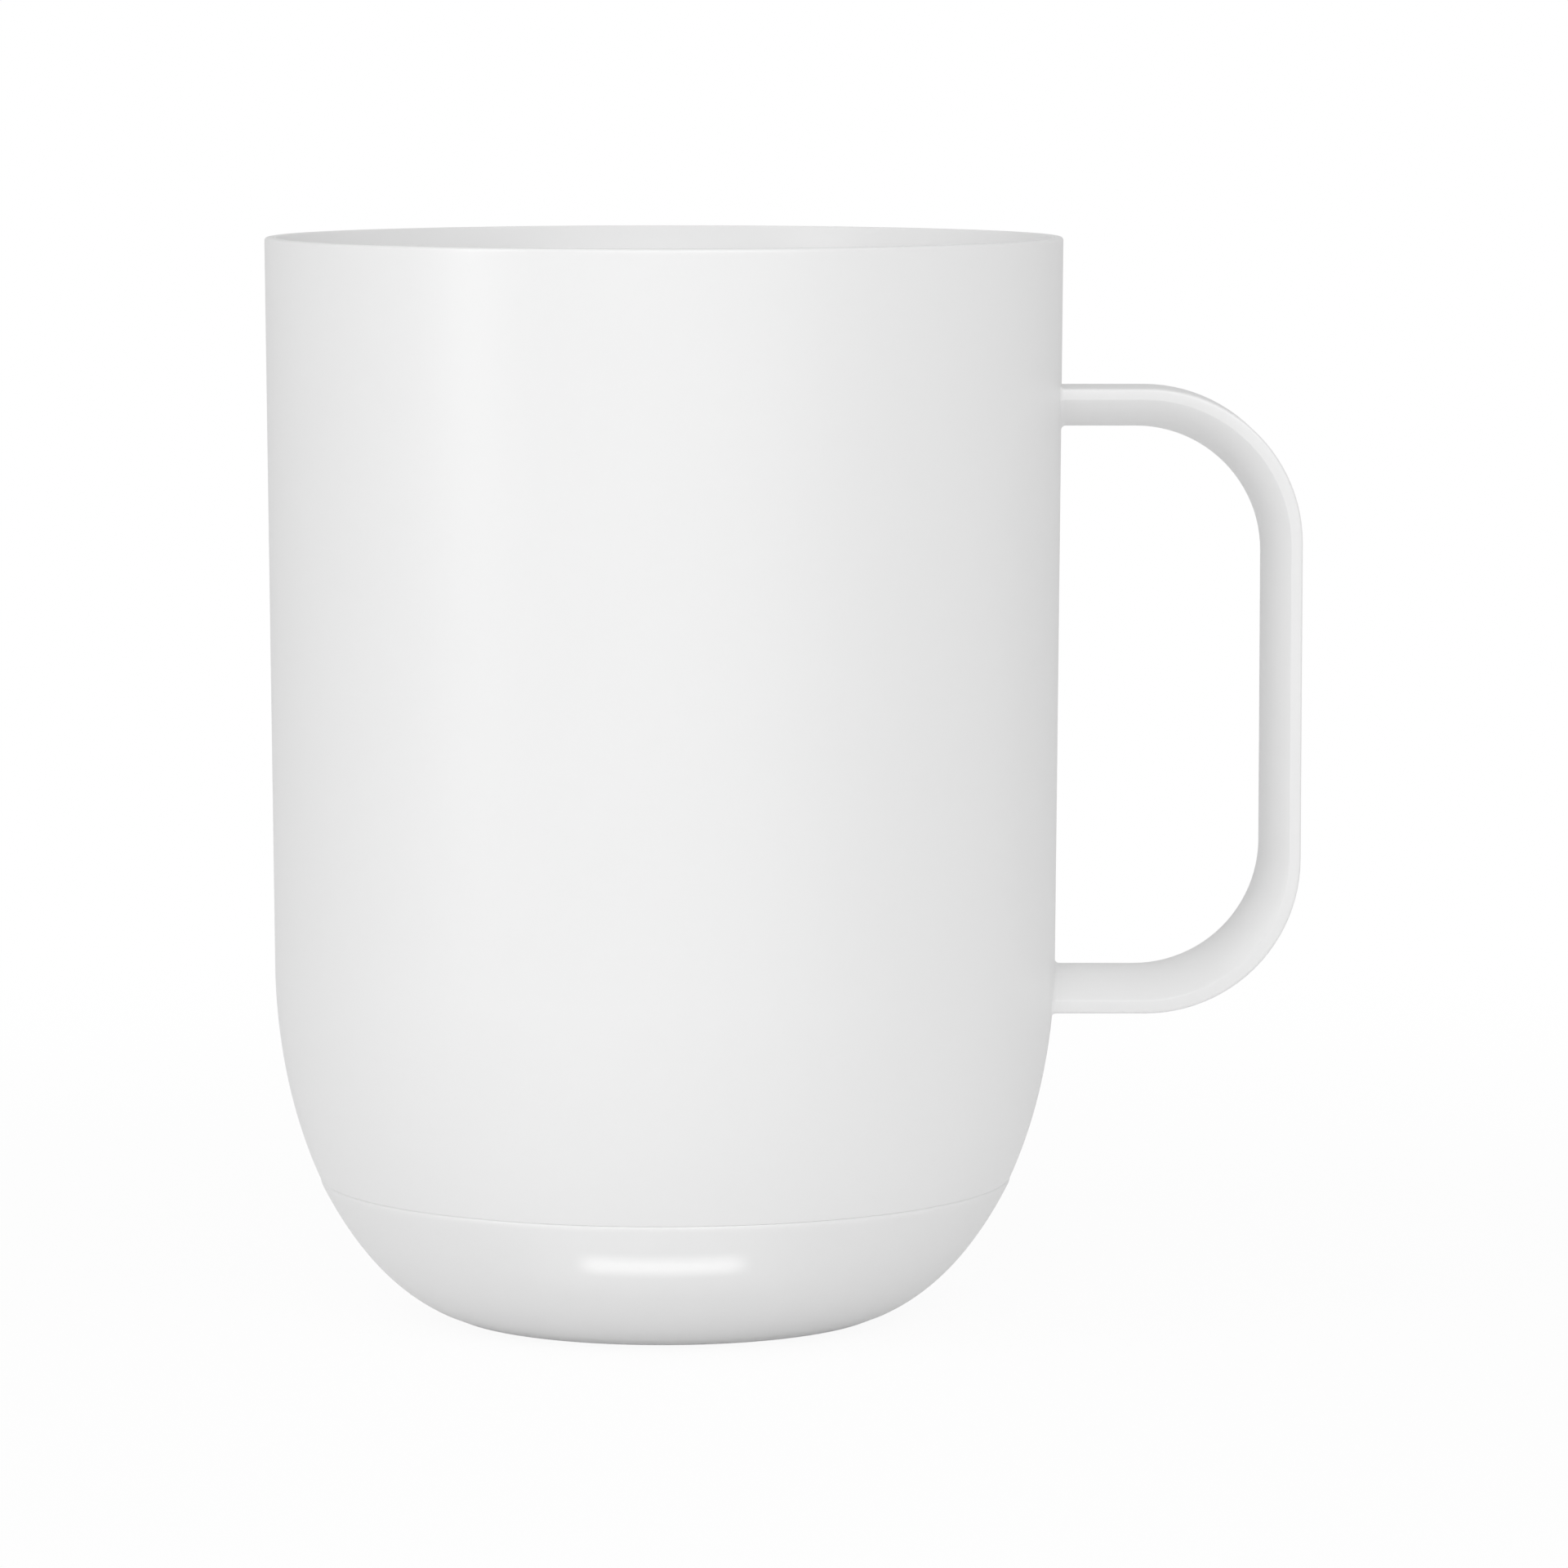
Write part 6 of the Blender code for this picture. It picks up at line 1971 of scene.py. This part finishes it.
class Dressing:
    """The finishes of the CAD nodes that stay."""

    @staticmethod
    def build() -> None:
        """Dress each node that stays."""
        dressed = {
            FRAME_PLASTIC: ["inner_frame"],
            SHEET_STEEL: ["mounting_ring", "pressure_plate", "cell_link", "cell_tab_plus", "cell_tab_minus"],
            MASK_GREEN: ["main_board"],
            FELT: ["insulation_disc"],
            FILM: ["heater_film"],
            RED_LEAD: ["heater_lead_1", "heater_lead_2", "battery_lead_plus"],
            BLACK_LEAD: ["battery_lead_minus"],
            PALE_LEAD: ["cup_sensor_lead", "battery_sensor_lead"],
            GUIDE: ["light_pipe"],
            DIODE: ["led_1", "led_2", "led_3"],
        }
        for finish, names in dressed.items():
            for name in names:
                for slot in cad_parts[name].material_slots:
                    slot.material = finish.material()
                log.info("%s: dressed in %s", name, finish.label)


# The studio
MUG_MIDDLE = Vector((0.0, 0.0, SIDE.height / 2))
WHITE = (1.0, 1.0, 1.0, 1.0)


@dataclass(frozen=True)
class Lamp:
    """A soft rectangular lamp that points at the mug.

    Fields:
        name: its name.
        azimuth: degrees to the right of the camera, seen from the mug.
        low, high: heights of its lower and upper edge.
        distance: distance from the mug.
        width: its width.
        radiance: how bright it is; a white wall that it lights from all round would have this brightness.
    """

    name: str
    azimuth: float
    low: float
    high: float
    distance: float
    width: float
    radiance: float

    def hang(self) -> None:
        """Make the lamp."""
        light = bpy.data.lights.new(self.name, "AREA")
        light.shape = "RECTANGLE"
        middle = (self.low + self.high) / 2
        turned = math.radians(self.azimuth)
        place = Vector((math.sin(turned) * self.distance, -math.cos(turned) * self.distance, middle))
        light.size, light.size_y = self.width, self.high - self.low
        light.energy = self.radiance * math.pi * light.size * light.size_y
        lamp = put(self.name, light)
        lamp.location = place
        lamp.rotation_euler = (MUG_MIDDLE - place).to_track_quat("-Z", "Y").to_euler()


LAMPS = (
    Lamp("left_box", -54.0, 0.02, 1.1, 1.15, 0.30, 1.97),
    Lamp("left_edge", -61.0, 0.02, 1.1, 1.16, 0.30, 0.53),
    Lamp("front_box", 12.0, 0.45, 2.0, 2.2, 1.6, 0.40),
    Lamp("front_wide", 10.0, 0.35, 2.1, 2.4, 3.2, 1.24),
)


@dataclass
class Studio:
    """Pale floor, soft lights and the camera.

    Fields:
        ambient: brightness of the light from all round.
        floor_size, floor_colour: the floor's side and how light it is.
        near_white: how much of the floor under the mug the camera sees as plain white.
        near, far: distances where that share starts and ends to grow to 1.
        mirror_near, mirror_far, mirror_share: where mirrored rays see plain white, and how much of it.
        camera_place, camera_tilt: where the camera stands, and its tilt in degrees.
        lens, sensor: its focal length and the width of its sensor, in millimetres.
        clip: the nearest and the furthest that it sees.
    """

    ambient: float = 0.634
    floor_size: float = 8.0
    floor_colour: float = 0.92
    near_white: float = 0.93
    near: float = 0.06
    far: float = 0.35
    mirror_near: float = 0.05
    mirror_far: float = 0.16
    mirror_share: float = 0.4
    camera_place: Point = (0.00006, -0.84182, 0.14482)
    camera_tilt: float = 84.20
    lens: float = 174.88
    sensor: float = 36.0
    clip: Pair = (0.05, 20.0)

    def build(self) -> None:
        """Set the floor, the light and the camera."""
        bpy.context.scene.view_settings.view_transform = "Standard"
        self.floor()
        self.world()
        for lamp in LAMPS:
            lamp.hang()
        self.camera()

    @staticmethod
    def whitened(tree: Tree, own: Value, seen: Value, mirrored: Value) -> Value:
        """Mix a shader with plain white for the camera's own rays and for mirrored ones.

        Args:
            tree: the tree that holds the shader.
            own: the shader that lights and shades.
            seen: how much of what the camera sees is plain white.
            mirrored: how much of what the object mirrors is plain white.

        Returns:
            The mixed shader.
        """
        path = tree.node("ShaderNodeLightPath")
        share = (Value(tree, path.outputs["Is Camera Ray"]) * seen
                 + Value(tree, path.outputs["Is Glossy Ray"]) * mirrored)
        white = tree.value("ShaderNodeEmission", sockets={"Color": WHITE, "Strength": 1.0})
        return tree.value("ShaderNodeMixShader", sockets={0: share, 1: own, 2: white})

    def floor(self) -> None:
        """Lay the floor, which keeps the object's shadow."""
        mesh = bpy.data.meshes.new("studio_floor")
        half = self.floor_size / 2
        mesh.from_pydata([(-half, -half, 0.0), (half, -half, 0.0), (half, half, 0.0), (-half, half, 0.0)],
                         [], [(0, 1, 2, 3)])
        material = bpy.data.materials.new("studio_floor")
        material.use_nodes = True
        tree = Tree(material.node_tree)
        tree.tree.nodes.remove(tree.tree.nodes["Principled BSDF"])
        matt = tree.value("ShaderNodeBsdfDiffuse", sockets={"Color": (*(self.floor_colour,) * 3, 1.0)})
        x, y, _ = tree.split(tree.value("ShaderNodeTexCoord", output="Object"))
        distance = tree.length(x, y)
        share = self.near_white + tree.ease(distance, self.near, self.far) * (1 - self.near_white)
        mirrored = tree.ease(distance, self.mirror_far, self.mirror_near) * self.mirror_share
        mixed = self.whitened(tree, matt, share, mirrored)
        tree.tree.links.new(mixed.socket, tree.tree.nodes["Material Output"].inputs["Surface"])
        mesh.materials.append(material)
        put("studio_floor", mesh)

    def world(self) -> None:
        """Set soft light from all round, with a white background."""
        world = bpy.data.worlds.new("studio")
        bpy.context.scene.world = world
        world.use_nodes = True
        tree = Tree(world.node_tree)
        tree.tree.nodes.remove(tree.tree.nodes["Background"])
        soft = tree.value("ShaderNodeBackground", sockets={"Strength": self.ambient, "Color": WHITE})
        path = tree.node("ShaderNodeLightPath")
        seen = Value(tree, path.outputs["Is Camera Ray"])
        white = tree.value("ShaderNodeBackground", sockets={"Strength": 1.0, "Color": WHITE})
        mixed = tree.value("ShaderNodeMixShader", sockets={0: seen, 1: soft, 2: white})
        tree.tree.links.new(mixed.socket, tree.tree.nodes["World Output"].inputs["Surface"])

    def camera(self) -> None:
        """Stand the camera where the photograph was taken from."""
        camera = bpy.data.cameras.new("camera")
        camera.lens = self.lens
        camera.sensor_width = self.sensor
        camera.clip_start, camera.clip_end = self.clip
        stand = put("camera", camera)
        stand.location = self.camera_place
        stand.rotation_euler = (math.radians(self.camera_tilt), 0.0, 0.0)
        bpy.context.scene.camera = stand


def main() -> None:
    """Build the mug, dress it and light it."""
    logging.basicConfig(level=logging.INFO, format="%(message)s")
    for part in (Vessel, Handle, Base, Underside, Board, Screws, Cells, Sensing, Dressing, Studio):
        part().build()


if __name__ == "__main__":
    main()
